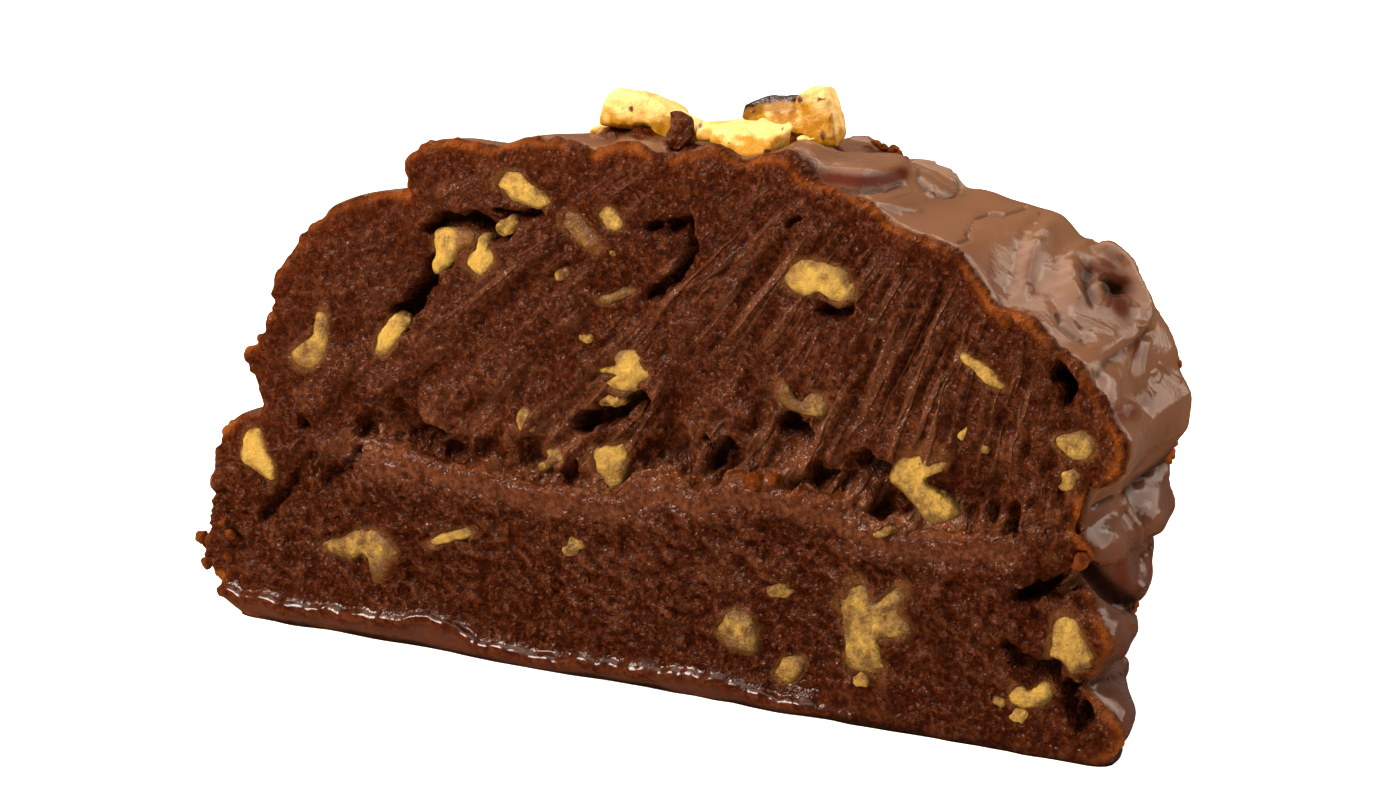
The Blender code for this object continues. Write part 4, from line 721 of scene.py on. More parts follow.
def rough_ball(middle: tuple, radii: tuple, tilt: float, seed: int) -> bpy.types.Object:
    """Make one small rough lump.

    Args:
        middle: Its middle, in the drawing's millimetres.
        radii: How far it reaches along X, Y and Z before it is tilted.
        tilt: How far it leans, in degrees.
        seed: Picks one pattern of roughness.

    Returns:
        The lump.
    """
    deselect_all()
    place = (np.array(middle) + DRAWING_TO_FRAME) * MM
    bpy.ops.mesh.primitive_ico_sphere_add(subdivisions=4, radius=MM, location=tuple(place),
                                          rotation=(0.0, -math.radians(tilt), 0.0), scale=radii)
    made = bpy.context.object
    bpy.ops.object.transform_apply(location=True, rotation=True, scale=True)
    points, normals = surface(made.data.vertices)
    rough = 0.3 * lumps(points, 0.8, seed) + 0.12 * lumps(points, 0.4, seed + 50)
    put_points(made, points + normals * rough[:, None])
    return made


def pattern_of(name: str) -> int:
    """Give each name its own pattern of noise."""
    return sum(ord(letter) for letter in name)


def join_all(pieces: list) -> bpy.types.Object:
    """Fuse meshes into one.

    Args:
        pieces: The mesh objects.

    Returns:
        The first of them, which holds them all.
    """
    deselect_all()
    for piece in pieces:
        piece.select_set(True)
    bpy.context.view_layer.objects.active = pieces[0]
    bpy.ops.object.join()
    return pieces[0]


def finish_piece(obj: bpy.types.Object, name: str, material: bpy.types.Material, slot: str,
                 replaced: tuple = ()) -> bpy.types.Object:
    """Name, shade and dress a finished mesh, and let it ride on the slice.

    Args:
        obj: The mesh object.
        name: The piece's name.
        material: Its material.
        slot: The record's material slot; not used.
        replaced: Names of the nodes that it stands for.

    Returns:
        The same object.
    """
    pick(obj)
    bpy.ops.object.transform_apply(location=True, rotation=True, scale=True)
    obj.name = name
    obj.data.name = name
    obj.data.materials.clear()
    obj.data.materials.append(material)
    bpy.ops.object.shade_smooth()
    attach(obj, "root")
    if replaced:
        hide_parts(*replaced)
    LOG.info("%s: %d faces", name, len(obj.data.polygons))
    return obj


def linear(colour: str) -> tuple[float, float, float, float]:
    """Turn an sRGB hex colour into linear light with full opacity."""
    channels = [int(colour[i:i + 2], 16) / 255 for i in (0, 2, 4)]
    return (*(c / 12.92 if c <= 0.04045 else ((c + 0.055) / 1.055) ** 2.4 for c in channels), 1.0)


def add_node(tree: bpy.types.NodeTree, kind: str, settings: dict | None = None, links: dict | None = None,
             out: str | int = 0) -> bpy.types.NodeSocket:
    """Add a shader node.

    Args:
        tree: The material's or world's tree.
        kind: The node's type, after the words ShaderNode.
        settings: Its own options and its unlinked sockets' values, by name or socket number.
        links: For each input socket's name or number, the output that feeds it.
        out: Which of its outputs to give, by name or number.

    Returns:
        That output.
    """
    node = tree.nodes.new("ShaderNode" + kind)
    for name, value in (settings or {}).items():
        if isinstance(name, str) and name in node.bl_rna.properties:
            setattr(node, name, value)
        else:
            node.inputs[name].default_value = value
    for name, source in (links or {}).items():
        tree.links.new(source, node.inputs[name])
    return node.outputs[out]


def new_material(name: str, values: dict) -> tuple[bpy.types.Material, bpy.types.NodeTree, bpy.types.Node]:
    """Start a material.

    Args:
        name: The material's name.
        values: What to set on its Principled shader, by the socket's name.

    Returns:
        The material, its node tree and its shader.
    """
    made = bpy.data.materials.new(name)
    made.use_nodes = True
    tree = made.node_tree
    shader = tree.nodes["Principled BSDF"]
    for socket, value in values.items():
        shader.inputs[socket].default_value = value
    return made, tree, shader


def read_attributes(tree: bpy.types.NodeTree, names: tuple) -> Sockets:
    """Read numbers that are stored on a piece's vertices, by their names."""
    return {name: add_node(tree, "Attribute", {"attribute_name": name}, out="Fac") for name in names}


@dataclass(frozen=True)
class FudgeFinish:
    """Chocolate fudge, sugar and butter beaten with cocoa: wet and grainy where cut, glossy where poured.

    Its brown is painted deep and red in the pits of its grain as shade and greyer on its ridges as a painted
    sheen, and its wet film mirrors white light as grey.
    """
    name: str = "chocolate fudge, cut and poured"
    cut_deep: str = "220700"
    cut: str = "3F1500"
    cut_light: str = "5C331C"
    dot: str = "582A10"
    skin: str = "4C2818"
    skin_light: str = "6E4A31"
    # dark red, for thin skin, and painted as shade on the tongue's front wall and round the hole
    flush: str = "4A1A06"
    rim: str = "562206"
    # amber, painted along thin edges as a glow of light shining through them from behind
    fringe: str = "87450F"
    halo: str = "6A4420"
    # near black, painted as shade in cracks, holes and skin furrows, and as a shadow along the bottom edge
    hollow: str = "140502"
    roughness: float = 0.6
    roughness_coat: float = 0.16
    coat: tuple = (0.04, 0.7)
    skin_coat: float = 0.7
    # heights over which the skin goes from painted shade low down to painted light high up
    skin_pales: tuple = (12.0, 52.0)
    blotch_mm: float = 7.0
    leather_mm: float = 0.7
    dot_mm: float = 0.85
    bead_mm: float = 1.6
    streaks_per_mm: tuple = (0.8, 0.075, 1.0)
    speck_height: float = 0.3
    heights: tuple = (("beads", 0.1), ("ridges", 0.5), ("leather", 0.26))

    def patterns(self, tree: bpy.types.NodeTree, place: bpy.types.NodeSocket) -> Sockets:
        """Draw the blotches, the leathery patches, the dots, the few larger beads and the dragged ridges.

        Args:
            tree: The material's tree.
            place: Where each place lies.

        Returns:
            How far each place lies in each pattern.
        """
        drawn = {}
        for name, size, roughness, distortion in (("blotches", self.blotch_mm, 0.5, 0.0),
                                                  ("leather", self.leather_mm, 0.6, 0.4)):
            drawn[name] = add_node(tree, "TexNoise", {"Scale": PER_MM / size, "Detail": 2.0,
                                                      "Roughness": roughness, "Distortion": distortion},
                                   {"Vector": place})
        drawn["leather"] = add_node(tree, "MapRange", {"From Min": 0.36, "From Max": 0.7},
                                    {"Value": drawn["leather"]})
        for name, size, wide, few in (("dots", self.dot_mm, 0.45, 0.25), ("beads", self.bead_mm, 0.32, 0.6)):
            cells = add_node(tree, "TexVoronoi", {"Scale": PER_MM / size}, {"Vector": place}).node
            near = add_node(tree, "MapRange",
                            {"interpolation_type": "SMOOTHSTEP", "From Min": wide, "From Max": 0.4 * wide},
                            {"Value": cells.outputs["Distance"]})
            lot = add_node(tree, "SeparateColor", {}, {0: cells.outputs["Color"]})
            kept = add_node(tree, "MapRange", {"From Min": few, "From Max": few + 0.2}, {"Value": lot})
            drawn[name] = add_node(tree, "Math", {"operation": "MULTIPLY"}, {0: near, 1: kept})
        drag = add_node(tree, "Attribute", {"attribute_name": "drag"}, out="Vector")
        stretched = add_node(tree, "VectorMath", {"operation": "MULTIPLY", 1: self.streaks_per_mm}, {0: drag})
        wave = add_node(tree, "TexNoise", {"Scale": 1.0, "Detail": 1.0, "Roughness": 0.5, "Distortion": 0.3},
                        {"Vector": stretched})
        drawn["ridges"] = add_node(tree, "MapRange", {"interpolation_type": "SMOOTHSTEP", "From Min": 0.54,
                                                      "From Max": 0.63}, {"Value": wave})
        return drawn

    def grain(self, tree: bpy.types.NodeTree, place: bpy.types.NodeSocket, read: Sockets) -> Sockets:
        """Spread the patterns over the slice, and gather the tops, painted paler as a painted sheen, and the
        tan specks from them.

        Args:
            tree: The material's tree.
            place: Where each place lies.
            read: The slice's attributes.

        Returns:
            The patterns, with tops, specks and granular, which is how grainy the rust and the painted sheen
            look.
        """
        grain = self.patterns(tree, place)
        grain["ridges"] = add_node(tree, "Math", {"operation": "MULTIPLY"},
                                   {0: grain["ridges"], 1: read["streaky"]})
        grain["granular"] = add_node(tree, "MapRange", {"To Min": 0.25, "To Max": 1.0},
                                     {"Value": grain["leather"]})
        # Painted sheen: the tops of the ridges and of the leathery grain are painted greyer, where a wet film
        # would mirror white light
        tops = add_node(tree, "Math", {"operation": "MULTIPLY"}, {0: read["pale"], 1: grain["granular"]})
        crests = add_node(tree, "MapRange", {"From Min": 0.55, "From Max": 1.0, "To Max": 0.6},
                          {"Value": grain["leather"]})
        for source, share in ((grain["ridges"], 0.55), (crests, 0.35)):
            tops = add_node(tree, "Math", {"operation": "MULTIPLY_ADD", 1: share, "use_clamp": True},
                            {0: source, 2: tops})
        specks = add_node(tree, "Math", {"operation": "MAXIMUM"}, {0: grain["dots"], 1: grain["beads"]})
        dotted = add_node(tree, "MapRange",
                          {"From Min": 0.4, "From Max": 0.6, "To Min": 0.25, "To Max": 0.65},
                          {"Value": grain["blotches"]})
        for share in (dotted, read["grainy"]):
            specks = add_node(tree, "Math", {"operation": "MULTIPLY"}, {0: specks, 1: share})
        return grain | {"tops": tops, "specks": specks}

    def tone(self, tree: bpy.types.NodeTree, place: bpy.types.NodeSocket, read: Sockets,
             grain: Sockets) -> bpy.types.NodeSocket:
        """Mix the colour: painted shade deep between the grains, a painted grey sheen on the ridges, tan on
        the dots, and the skin painted paler higher up, as if more light falls there.

        Args:
            tree: The material's tree.
            place: Where each place lies.
            read: The slice's attributes.
            grain: The patterns.

        Returns:
            The colour.
        """
        # Painted shade: the pits of the leathery grain are mixed towards the deeper brown
        tone = add_node(tree, "Mix", {"data_type": "RGBA", 6: linear(self.cut_deep), 7: linear(self.cut)},
                        {0: grain["leather"]}, out=2)
        rusty = add_node(tree, "Math", {"operation": "MULTIPLY"}, {0: read["rim"], 1: grain["granular"]})
        stains = ((rusty, self.rim), (read["halo"], self.halo), (grain["tops"], self.cut_light),
                  (grain["specks"], self.dot))
        for share, colour in stains:
            tone = add_node(tree, "Mix", {"data_type": "RGBA", 7: linear(colour)}, {0: share, 6: tone}, out=2)
        # Painted light: the skin is painted darker low down and paler high up, as if more light falls on the
        # top
        low, high = self.skin_pales
        pale = add_node(tree, "MapRange",
                        {"From Min": low * MM, "From Max": high * MM, "To Min": -0.1, "To Max": 1.0},
                        {"Value": add_node(tree, "SeparateXYZ", {}, {0: place}, out="Z")})
        uneven = add_node(tree, "MapRange", {"From Min": 0.3, "From Max": 0.7, "To Min": -0.2, "To Max": 0.2},
                          {"Value": grain["blotches"]})
        pale = add_node(tree, "Math", {"operation": "ADD", "use_clamp": True}, {0: uneven, 1: pale})
        skin = add_node(tree, "Mix", {"data_type": "RGBA", 6: linear(self.skin), 7: linear(self.skin_light)},
                        {0: pale}, out=2)
        tone = add_node(tree, "Mix", {"data_type": "RGBA"}, {0: read["skin"], 6: tone, 7: skin}, out=2)
        for name in ("flush", "fringe", "hollow"):
            tone = add_node(tree, "Mix", {"data_type": "RGBA", 7: linear(getattr(self, name))},
                            {0: read[name], 6: tone}, out=2)
        return tone

    def film(self, tree: bpy.types.NodeTree, read: Sockets, grain: Sockets) -> bpy.types.NodeSocket:
        """Lay the wet film, thickest on the ridges and where the knife left the fudge level.

        Args:
            tree: The material's tree.
            read: The slice's attributes.
            grain: The patterns.

        Returns:
            The coat's weight.
        """
        wet = read["smooth"]
        for share in (grain["tops"], grain["specks"]):
            wet = add_node(tree, "Math", {"operation": "MAXIMUM"}, {0: wet, 1: share})
        wet = add_node(tree, "MapRange", {"To Min": self.coat[0], "To Max": self.coat[1]}, {"Value": wet})
        for name, weight in (("skin", self.skin_coat), ("flush", 0.1), ("hollow", 0.05)):
            wet = add_node(tree, "Mix", {"data_type": "FLOAT", 3: weight}, {0: read[name], 2: wet})
        return wet

    def relief(self, tree: bpy.types.NodeTree, read: Sockets, grain: Sockets) -> bpy.types.NodeSocket:
        """Raise the grain by heights in mm, much less on the skin and where the fudge is level.

        Args:
            tree: The material's tree.
            read: The slice's attributes.
            grain: The patterns.

        Returns:
            The bumpy normal.
        """
        height = add_node(tree, "Math", {"operation": "MULTIPLY", 1: self.speck_height}, {0: grain["specks"]})
        for name, tall in self.heights:
            height = add_node(tree, "Math", {"operation": "MULTIPLY_ADD", 1: tall},
                              {0: grain[name], 2: height})
        level = add_node(tree, "Math", {"operation": "MAXIMUM"}, {0: read["skin"], 1: read["smooth"]})
        kept = add_node(tree, "MapRange", {"To Min": 1.0, "To Max": 0.06}, {"Value": level})
        height = add_node(tree, "Math", {"operation": "MULTIPLY"}, {0: height, 1: kept})
        return add_node(tree, "Bump", {"Strength": 1.0, "Distance": MM}, {"Height": height})

    def material(self) -> bpy.types.Material:
        """Make the material, which reads the slice's own attributes, such as how much paler each place is
        painted as sheen.

        Returns:
            The material.
        """
        made, tree, shader = new_material(self.name, {
            "Roughness": self.roughness, "Specular IOR Level": 0.03, "IOR": 1.45,
            "Subsurface Weight": 0.1, "Subsurface Radius": (1.0, 0.3, 0.1), "Subsurface Scale": 0.5 * MM,
            "Coat Roughness": self.roughness_coat})
        place = add_node(tree, "TexCoord", out="Object")
        read = read_attributes(tree, ("skin", "flush", "pale", "halo", "rim", "fringe", "hollow", "smooth",
                                      "streaky", "grainy"))
        grain = self.grain(tree, place, read)
        normal = self.relief(tree, read, grain)
        tree.links.new(self.tone(tree, place, read, grain), shader.inputs["Base Color"])
        tree.links.new(self.film(tree, read, grain), shader.inputs["Coat Weight"])
        tree.links.new(normal, shader.inputs["Normal"])
        tree.links.new(normal, shader.inputs["Coat Normal"])
        return made


@dataclass(frozen=True)
class WalnutFinish:
    """Walnut kernel, chopped: dense, oily and finely fibrous, brown where the fudge has soaked in; on the
    top, its lower and side faces are painted deeper gold as shade, and its foot has a painted shadow.
    """
    name: str
    light: str
    deep: str
    stain: str
    skin: str
    grain_mm: float = 0.4
    patch_mm: float = 1.7
    bump_mm: float = 0.08
    roughness: float = 0.42
    roughness_skin: float = 0.25

    def material(self) -> bpy.types.Material:
        """Make the material, which reads the piece's attributes browned, stain and papery.

        Returns:
            The material.
        """
        made, tree, shader = new_material(self.name, {
            "Specular IOR Level": 0.4, "Subsurface Weight": 0.25, "Subsurface Radius": (1.0, 0.6, 0.2),
            "Subsurface Scale": 0.4 * MM})
        place = add_node(tree, "TexCoord", out="Object")
        read = read_attributes(tree, ("browned", "stain", "papery"))
        patches, fibre = (
            add_node(tree, "TexNoise", {"Scale": PER_MM / size, "Detail": 3.0, "Roughness": roughness,
                                        "Distortion": distortion}, {"Vector": place})
            for size, roughness, distortion in ((self.patch_mm, 0.5, 0.0), (self.grain_mm, 0.6, 0.5)))
        share = add_node(tree, "MapRange",
                         {"From Min": 0.3, "From Max": 0.7, "To Min": -0.95, "To Max": -0.05},
                         {"Value": patches})
        for source, clamped in ((fibre, False), (read["browned"], True)):
            share = add_node(tree, "Math", {"operation": "ADD", "use_clamp": clamped}, {0: source, 1: share})
        tone = add_node(tree, "Mix", {"data_type": "RGBA", 6: linear(self.light), 7: linear(self.deep)},
                        {0: share}, out=2)
        for name, colour in (("stain", self.stain), ("papery", self.skin)):
            tone = add_node(tree, "Mix", {"data_type": "RGBA", 7: linear(colour)}, {0: read[name], 6: tone},
                            out=2)
        shine = add_node(tree, "MapRange", {"To Min": self.roughness, "To Max": self.roughness_skin},
                         {"Value": read["papery"]})
        bump = add_node(tree, "Bump", {"Strength": 0.9, "Distance": self.bump_mm * MM}, {"Height": fibre})
        tree.links.new(tone, shader.inputs["Base Color"])
        tree.links.new(shine, shader.inputs["Roughness"])
        tree.links.new(bump, shader.inputs["Normal"])
        return made


class Walnut(Enum):
    """Where a walnut lies, with its finish: cut level with the fudge's face, or loose on the top."""
    CUT = WalnutFinish("walnut kernel, cut", "AC8832", "5A380A", "54330E", "5E300E", bump_mm=0.4)
    TOP = WalnutFinish("walnut kernel, broken", "E2BC70", "BA8210", "42210A", "24130A", grain_mm=0.45,
                       bump_mm=0.15)


@dataclass
class CutFace:
    """The rough cut face as a height above its plane, for any (x, z)."""
    wall_recess: float = 1.7
    wall_fade: float = 10.0
    ledge_step: float = 0.45
    shoulder: float = 1.6
    shoulder_round: float = 1.8
    shoulder_fade: float = 8.0
    lip_bulge: float = 0.6
    lip_height: float = 1.5
    lip_drop: float = 1.0
    plateau: float = 0.8
    plateau_under: float = 0.4
    ridge_spacing: float = 2.6
    ridge_length: float = 26.0
    ridge_height: float = 0.3
    ridge_near_ledge: float = 0.8
    streak_height: float = 0.7
    bead_height: float = 0.3
    leather_height: float = 0.2
    lump_height: float = 0.25
    edge_height: float = 0.45
    smear_height: float = 0.25
    crag_height: float = 0.95
    crag_pit: float = 1.2
    slant_pit: float = 0.45
    ledge_bead: float = 0.7
    drip_height: float = 0.7

    def above_ledge(self, x: np.ndarray, z: np.ndarray) -> np.ndarray:
        """Give the height of each place above the ledge's line."""
        return z - along(LEDGE_LINE, x) - 0.5 * lumps(as_points(x), 3.0, 5)

    def fan(self, x: np.ndarray, z: np.ndarray) -> np.ndarray:
        """Give each place as lengths across and along the ridges.

        Args:
            x: Along the slice.
            z: Up.

        Returns:
            Rows of (across, along, 0).
        """
        away = np.stack([x, z], axis=1) - np.array(FAN_CENTRE)
        turn = np.arctan2(away[:, 1], away[:, 0]) * FAN_RADIUS
        return as_points(turn, np.linalg.norm(away, axis=1))

    def coarse(self, x: np.ndarray, z: np.ndarray) -> np.ndarray:
        """Give the height of the large forms: ledge, lip and ridges.

        Args:
            x: Along the slice.
            z: Up.

        Returns:
            How far the face stands forward of its plane.
        """
        start, full, fading, end = LEDGE_ENDS
        present = smooth_step((x - start) / (full - start)) * smooth_step((end - x) / (end - fading))
        height = self.above_ledge(x, z)
        above = smooth_step(0.5 + height / (2 * self.ledge_step))
        wall = -self.wall_recess * np.exp(-np.maximum(height, 0) / self.wall_fade)
        drop = np.maximum(-height, 0)
        shoulder = (self.shoulder * np.exp(-drop / self.shoulder_fade)
                    - 0.9 * np.exp(-drop / self.shoulder_round))
        relief = present * (above * wall + (1 - above) * shoulder)
        lip = np.exp(-((z - along(LIP_LINE, x) + self.lip_drop) / self.lip_height) ** 2)
        relief += self.lip_bulge * lip * smooth_step((LIP_END - x) / 12)
        fan = self.fan(x, z) / np.array([self.ridge_spacing, self.ridge_length, 1.0])
        ridges = lumps(fan, 1.0, 11) + 0.5 * lumps(fan * 2.1, 1.0, 12)
        strength = self.ridge_height + self.ridge_near_ledge * np.exp(-np.abs(height) / 9)
        relief += above * strength * ridges * smooth_step((x + 46) / 14)
        relief += (1 - above) * 0.12 * ridges
        solid = as_points(x, z)
        relief += 0.35 * lumps(solid, 5.0, 21) + 0.2 * lumps(solid, 2.4, 22)
        return relief

    def drag(self, x: np.ndarray, z: np.ndarray) -> np.ndarray:
        """Give each place as lengths across and along the way the knife dragged the fudge.

        Args:
            x: Along the slice.
            z: Up.

        Returns:
            Rows of (across, along, 0).
        """
        above = self.above_ledge(x, z) > 0
        slant = as_points(0.47 * x + 0.88 * z, 0.88 * x - 0.47 * z)
        return np.where(above[:, None], self.fan(x, z), slant)

    def fine(self, x: np.ndarray, z: np.ndarray,
             from_edge: np.ndarray) -> tuple[np.ndarray, np.ndarray, np.ndarray, np.ndarray]:
        """Give the small forms that lie on the large ones: dragged ridges, beads, pits and tears.

        Args:
            x: Along the slice.
            z: Up.
            from_edge: Distance from the cut edge.

        Returns:
            How far the surface stands out, how pale it is painted as sheen, and how streaky and how smeared
            it is, from 0 to 1.
        """
        solid = as_points(x, z)
        height = self.above_ledge(x, z)
        above = smooth_step(0.5 + height / 0.8)
        inner = smooth_step((from_edge - 1.0) / 5.0)
        fan = self.fan(x, z)
        fan[:, 0] += 0.5 * lumps(solid, 5.0, 60)
        patch = smooth_step((lumps(solid, 9.0, 61) + 0.75) / 0.9)
        right = smooth_step((x + 20) / 45)
        wide = smooth_step((lumps(fan, (1.1, 13.0, 1.0), 62) - 0.02) / 0.5)
        narrow = smooth_step((lumps(fan, (0.7, 7.0, 1.0), 63) - 0.1) / 0.5)
        streaky = above * inner * patch * (1 - 0.8 * self.upper_left(x, z))
        streaks = np.maximum(wide, 0.7 * narrow) * streaky
        beads = grains(solid, 0.95, 71) * smooth_step((lumps(solid, 5.0, 72) + 0.2 + 0.5 * right) / 0.8)
        leather = lumps(solid, 0.85, 68)
        level = smooth_step((lumps(solid, (5.5, 8.8, 5.5), 56) + 0.35) / 0.5)
        relief = self.streak_height * streaks + self.lump_height * lumps(solid, 1.6, 67)
        relief += level * (self.bead_height * beads + self.leather_height * leather)
        relief += self.edge_height * np.exp(-from_edge / 1.2) * lumps(solid, 0.9, 69)
        pale = 0.35 * streaks
        pale += 0.3 * (smooth_step((beads - 0.3) / 0.5) + smooth_step((leather - 0.2) / 0.4))

        # Wet smears at the left and above the ledge, painted paler as a painted sheen
        smear = smooth_step((lumps(fan, (2.0, 5.5, 1.0), 57) + 0.05) / 0.3)
        smear *= above * inner * np.exp(-np.maximum(height, 0) / 12.0)
        smear *= (1 - 0.6 * right) * smooth_step((x + 52) / 8)
        relief = relief * (1 - 0.5 * smear) + self.smear_height * smear
        pale = pale * (1 - 0.5 * smear) + 0.75 * smear

        # Torn crags just above the ledge, with a painted sheen on their tops
        craggy = above * np.exp(-np.maximum(height, 0) / 6.0) * smooth_step((x + 44) / 8)
        torn = lumps(fan, (1.6, 2.7, 1.0), 64) + 0.5 * lumps(fan, (0.8, 1.3, 1.0), 59)
        relief += craggy * (self.crag_height * torn - self.crag_pit * smooth_step((-torn - 0.15) / 0.35))
        tops = craggy * smooth_step((torn - 0.1) / 0.3)
        pale += 1.2 * tops
        smear = np.maximum(smear, tops)

        # Short slanting pits below the ledge, with level smears between them painted paler as a painted sheen
        slant = as_points(0.88 * x - 0.47 * z, (0.47 * x + 0.88 * z) * 2.4)
        pits = lumps(slant, 1.9, 65) + 0.5 * lumps(slant, 0.9, 66)
        below = (1 - above) * smooth_step((z - 4.0) / 3.0) * smooth_step((-height - 1.2) / 1.5)
        relief -= below * self.slant_pit * smooth_step((pits - 0.05) / 0.35)
        pale += below * 0.5 * smooth_step((-0.25 - pits) / 0.3)

        # Beads and glints along the ledge's edge; the beads and the smooth band under the edge are also
        # painted paler as a painted sheen
        bead_line = np.exp(-((height + 0.1) / 0.7) ** 2) * (x > -36)
        relief += self.ledge_bead * bead_line * grains(solid, 1.5, 75)
        pale += 0.3 * bead_line + 0.8 * self.under_ledge(x, z)
        relief *= 1 - 0.75 * self.smooth(x, z)

        # The foot: a wet plateau with a ragged edge over a smooth layer
        foot = self.above_foot(x, z)
        drips = np.exp(-((foot - 0.2) / 0.8) ** 2) * smooth_step((lumps(as_points(x), 3.4, 79) + 0.3) / 0.6)
        step = self.plateau * smooth_step(0.5 - foot / 0.7)
        step -= self.plateau_under * smooth_step((-foot - 0.9) / 0.5)
        relief += self.footed(x) * (self.drip_height * drips + step)
        for inside, depth in self.openings(x, z):
            relief = relief * (1 - 0.5 * inside) - depth * inside
            pale *= 1 - inside
        return relief, np.clip(pale, 0, 1), streaky, smear

    def above_foot(self, x: np.ndarray, z: np.ndarray) -> np.ndarray:
        """Give the height of each place above the wavy edge of the plateau along the foot."""
        run = as_points(x)
        return z - along(LIP_LINE, x) - 0.4 * lumps(run, 2.6, 77) - 0.2 * lumps(run, 0.9, 78)

    def footed(self, x: np.ndarray) -> np.ndarray:
        """Give how full the plateau along the foot is, from 0 past its end to 1."""
        return smooth_step((LIP_END - x) / 6.0)

    def openings(self, x: np.ndarray, z: np.ndarray) -> Iterator[tuple[np.ndarray, float]]:
        """Give each crack and hole.

        Args:
            x: Along the slice.
            z: Up.

        Yields:
            How far each place lies inside the opening, from 0 to 1, and the opening's depth.
        """
        flat = np.stack([x, z], axis=1)
        solid = as_points(x, z)
        ragged = 0.5 * lumps(solid, 1.7, 23) + 0.3 * lumps(solid, 0.8, 24)
        for route, half_width, depth in CREVICES + SMALL_TEARS:
            away = route_distance(flat, route) + ragged * min(1.0, half_width)
            yield smooth_step((0.85 * half_width - away) / (0.5 * half_width)), depth

    def hollow(self, x: np.ndarray, z: np.ndarray) -> np.ndarray:
        """Find the deep cracks and holes, which are painted dark as shade.

        Args:
            x: Along the slice.
            z: Up.

        Returns:
            How far each place lies inside one, from 0 to 1.
        """
        share = np.zeros(len(x))
        for inside, depth in self.openings(x, z):
            share = np.maximum(share, inside * min(1.0, depth / 2.2))
        return share

    def under_ledge(self, x: np.ndarray, z: np.ndarray) -> np.ndarray:
        """Give how far each place lies in the smooth band just under the ledge's edge, from 0 to 1."""
        height = self.above_ledge(x, z)
        return np.exp(-((height + 2.1) / 1.4) ** 2) * smooth_step((x + 38) / 6) * smooth_step((52 - x) / 6)

    def ledge_edge(self, x: np.ndarray, z: np.ndarray) -> np.ndarray:
        """Give how far each place lies on the ledge's edge, from 0 to 1."""
        height = self.above_ledge(x, z)
        return np.exp(-((height + 0.1) / 0.6) ** 2) * smooth_step((x + 38) / 6) * smooth_step((50 - x) / 6)

    def upper_left(self, x: np.ndarray, z: np.ndarray) -> np.ndarray:
        """Give how far each place lies in the upper left, which was cut rather than dragged, from 0 to 1."""
        return smooth_step((-8 - x) / 22) * smooth_step(self.above_ledge(x, z) / 3)

    def grainy(self, x: np.ndarray, z: np.ndarray) -> np.ndarray:
        """Give how far each place shows fine grains: less at the upper left and under the ledge's edge."""
        return (1 - 0.75 * self.upper_left(x, z)) * (1 - self.under_ledge(x, z))

    def smooth(self, x: np.ndarray, z: np.ndarray) -> np.ndarray:
        """Find where the knife left the fudge level: under the ledge, on the foot and at the lower right.

        Args:
            x: Along the slice.
            z: Up.

        Returns:
            How wet and level each place is, from 0 to 1.
        """
        level = smooth_step((0.9 - self.above_foot(x, z)) / 0.7)
        pool = np.exp(-(((x - 29) / 8.0) ** 2 + ((z - 2.6) / 2.0) ** 2))
        return np.clip(np.maximum(np.maximum(level, pool), 0.95 * self.under_ledge(x, z)), 0.0, 1.0)


@dataclass
class PouredSkin:
    """The smooth skin over the top and the ends, as a height along its own normal."""
    lump_sizes: tuple = ((12.0, 0.6), (6.0, 0.12))
    fullness: float = 0.4
    drift_size: float = 15.0
    drift: float = 1.5
    hidden_folds: tuple = (9.0, 0.7)
    fold_strength: float = 1.3
    line_strength: float = 1.2
    tongue_ramp: float = 1.4
    tongue_start: tuple = (6.5, 12.5)
    waves: tuple = ((3.0, 0.05, 81), (1.1, 0.01, 82))

    def relief(self, points: np.ndarray, moved: np.ndarray, normals: np.ndarray) -> np.ndarray:
        """Give how far the skin stands out at each point.

        Args:
            points: Rows of places on the blank.
            moved: The same places after the back has been shifted.
            normals: The blank's normals there.

        Returns:
            One height for each.
        """
        height = np.full(len(points), self.fullness)
        for size, tall in self.lump_sizes:
            height += tall * lumps(points, size, 31)
        size, tall = self.hidden_folds
        seen = facing_share(normals)
        flat = seen_places(moved)
        start, full = self.tongue_start
        tongue = TONGUE_THICK * inside_outline(flat, TONGUE, self.tongue_ramp)
        tongue *= smooth_step((flat[:, 0] - start) / (full - start))
        height += seen * (self.fold_strength * grooves(flat, SKIN_FOLDS) + tongue)
        return height - (1 - seen) * tall * groove(lumps(points, size, 33), 0.3)

    def back_shift(self, x: np.ndarray, z: np.ndarray) -> np.ndarray:
        """Blend the shifts of the skin at the back face, nearest ones first.

        Args:
            x: Along the slice.
            z: Up.

        Returns:
            Rows of (dx, dz).
        """
        total = np.zeros((len(x), 2))
        weights = np.zeros(len(x))
        for (at_x, at_z), shift in BACK_SHIFTS:
            weight = 1.0 / ((x - at_x) ** 2 + (z - at_z) ** 2 + SHIFT_REACH ** 2) ** 2
            total += weight[:, None] * np.array(shift)
            weights += weight
        return total / weights[:, None]


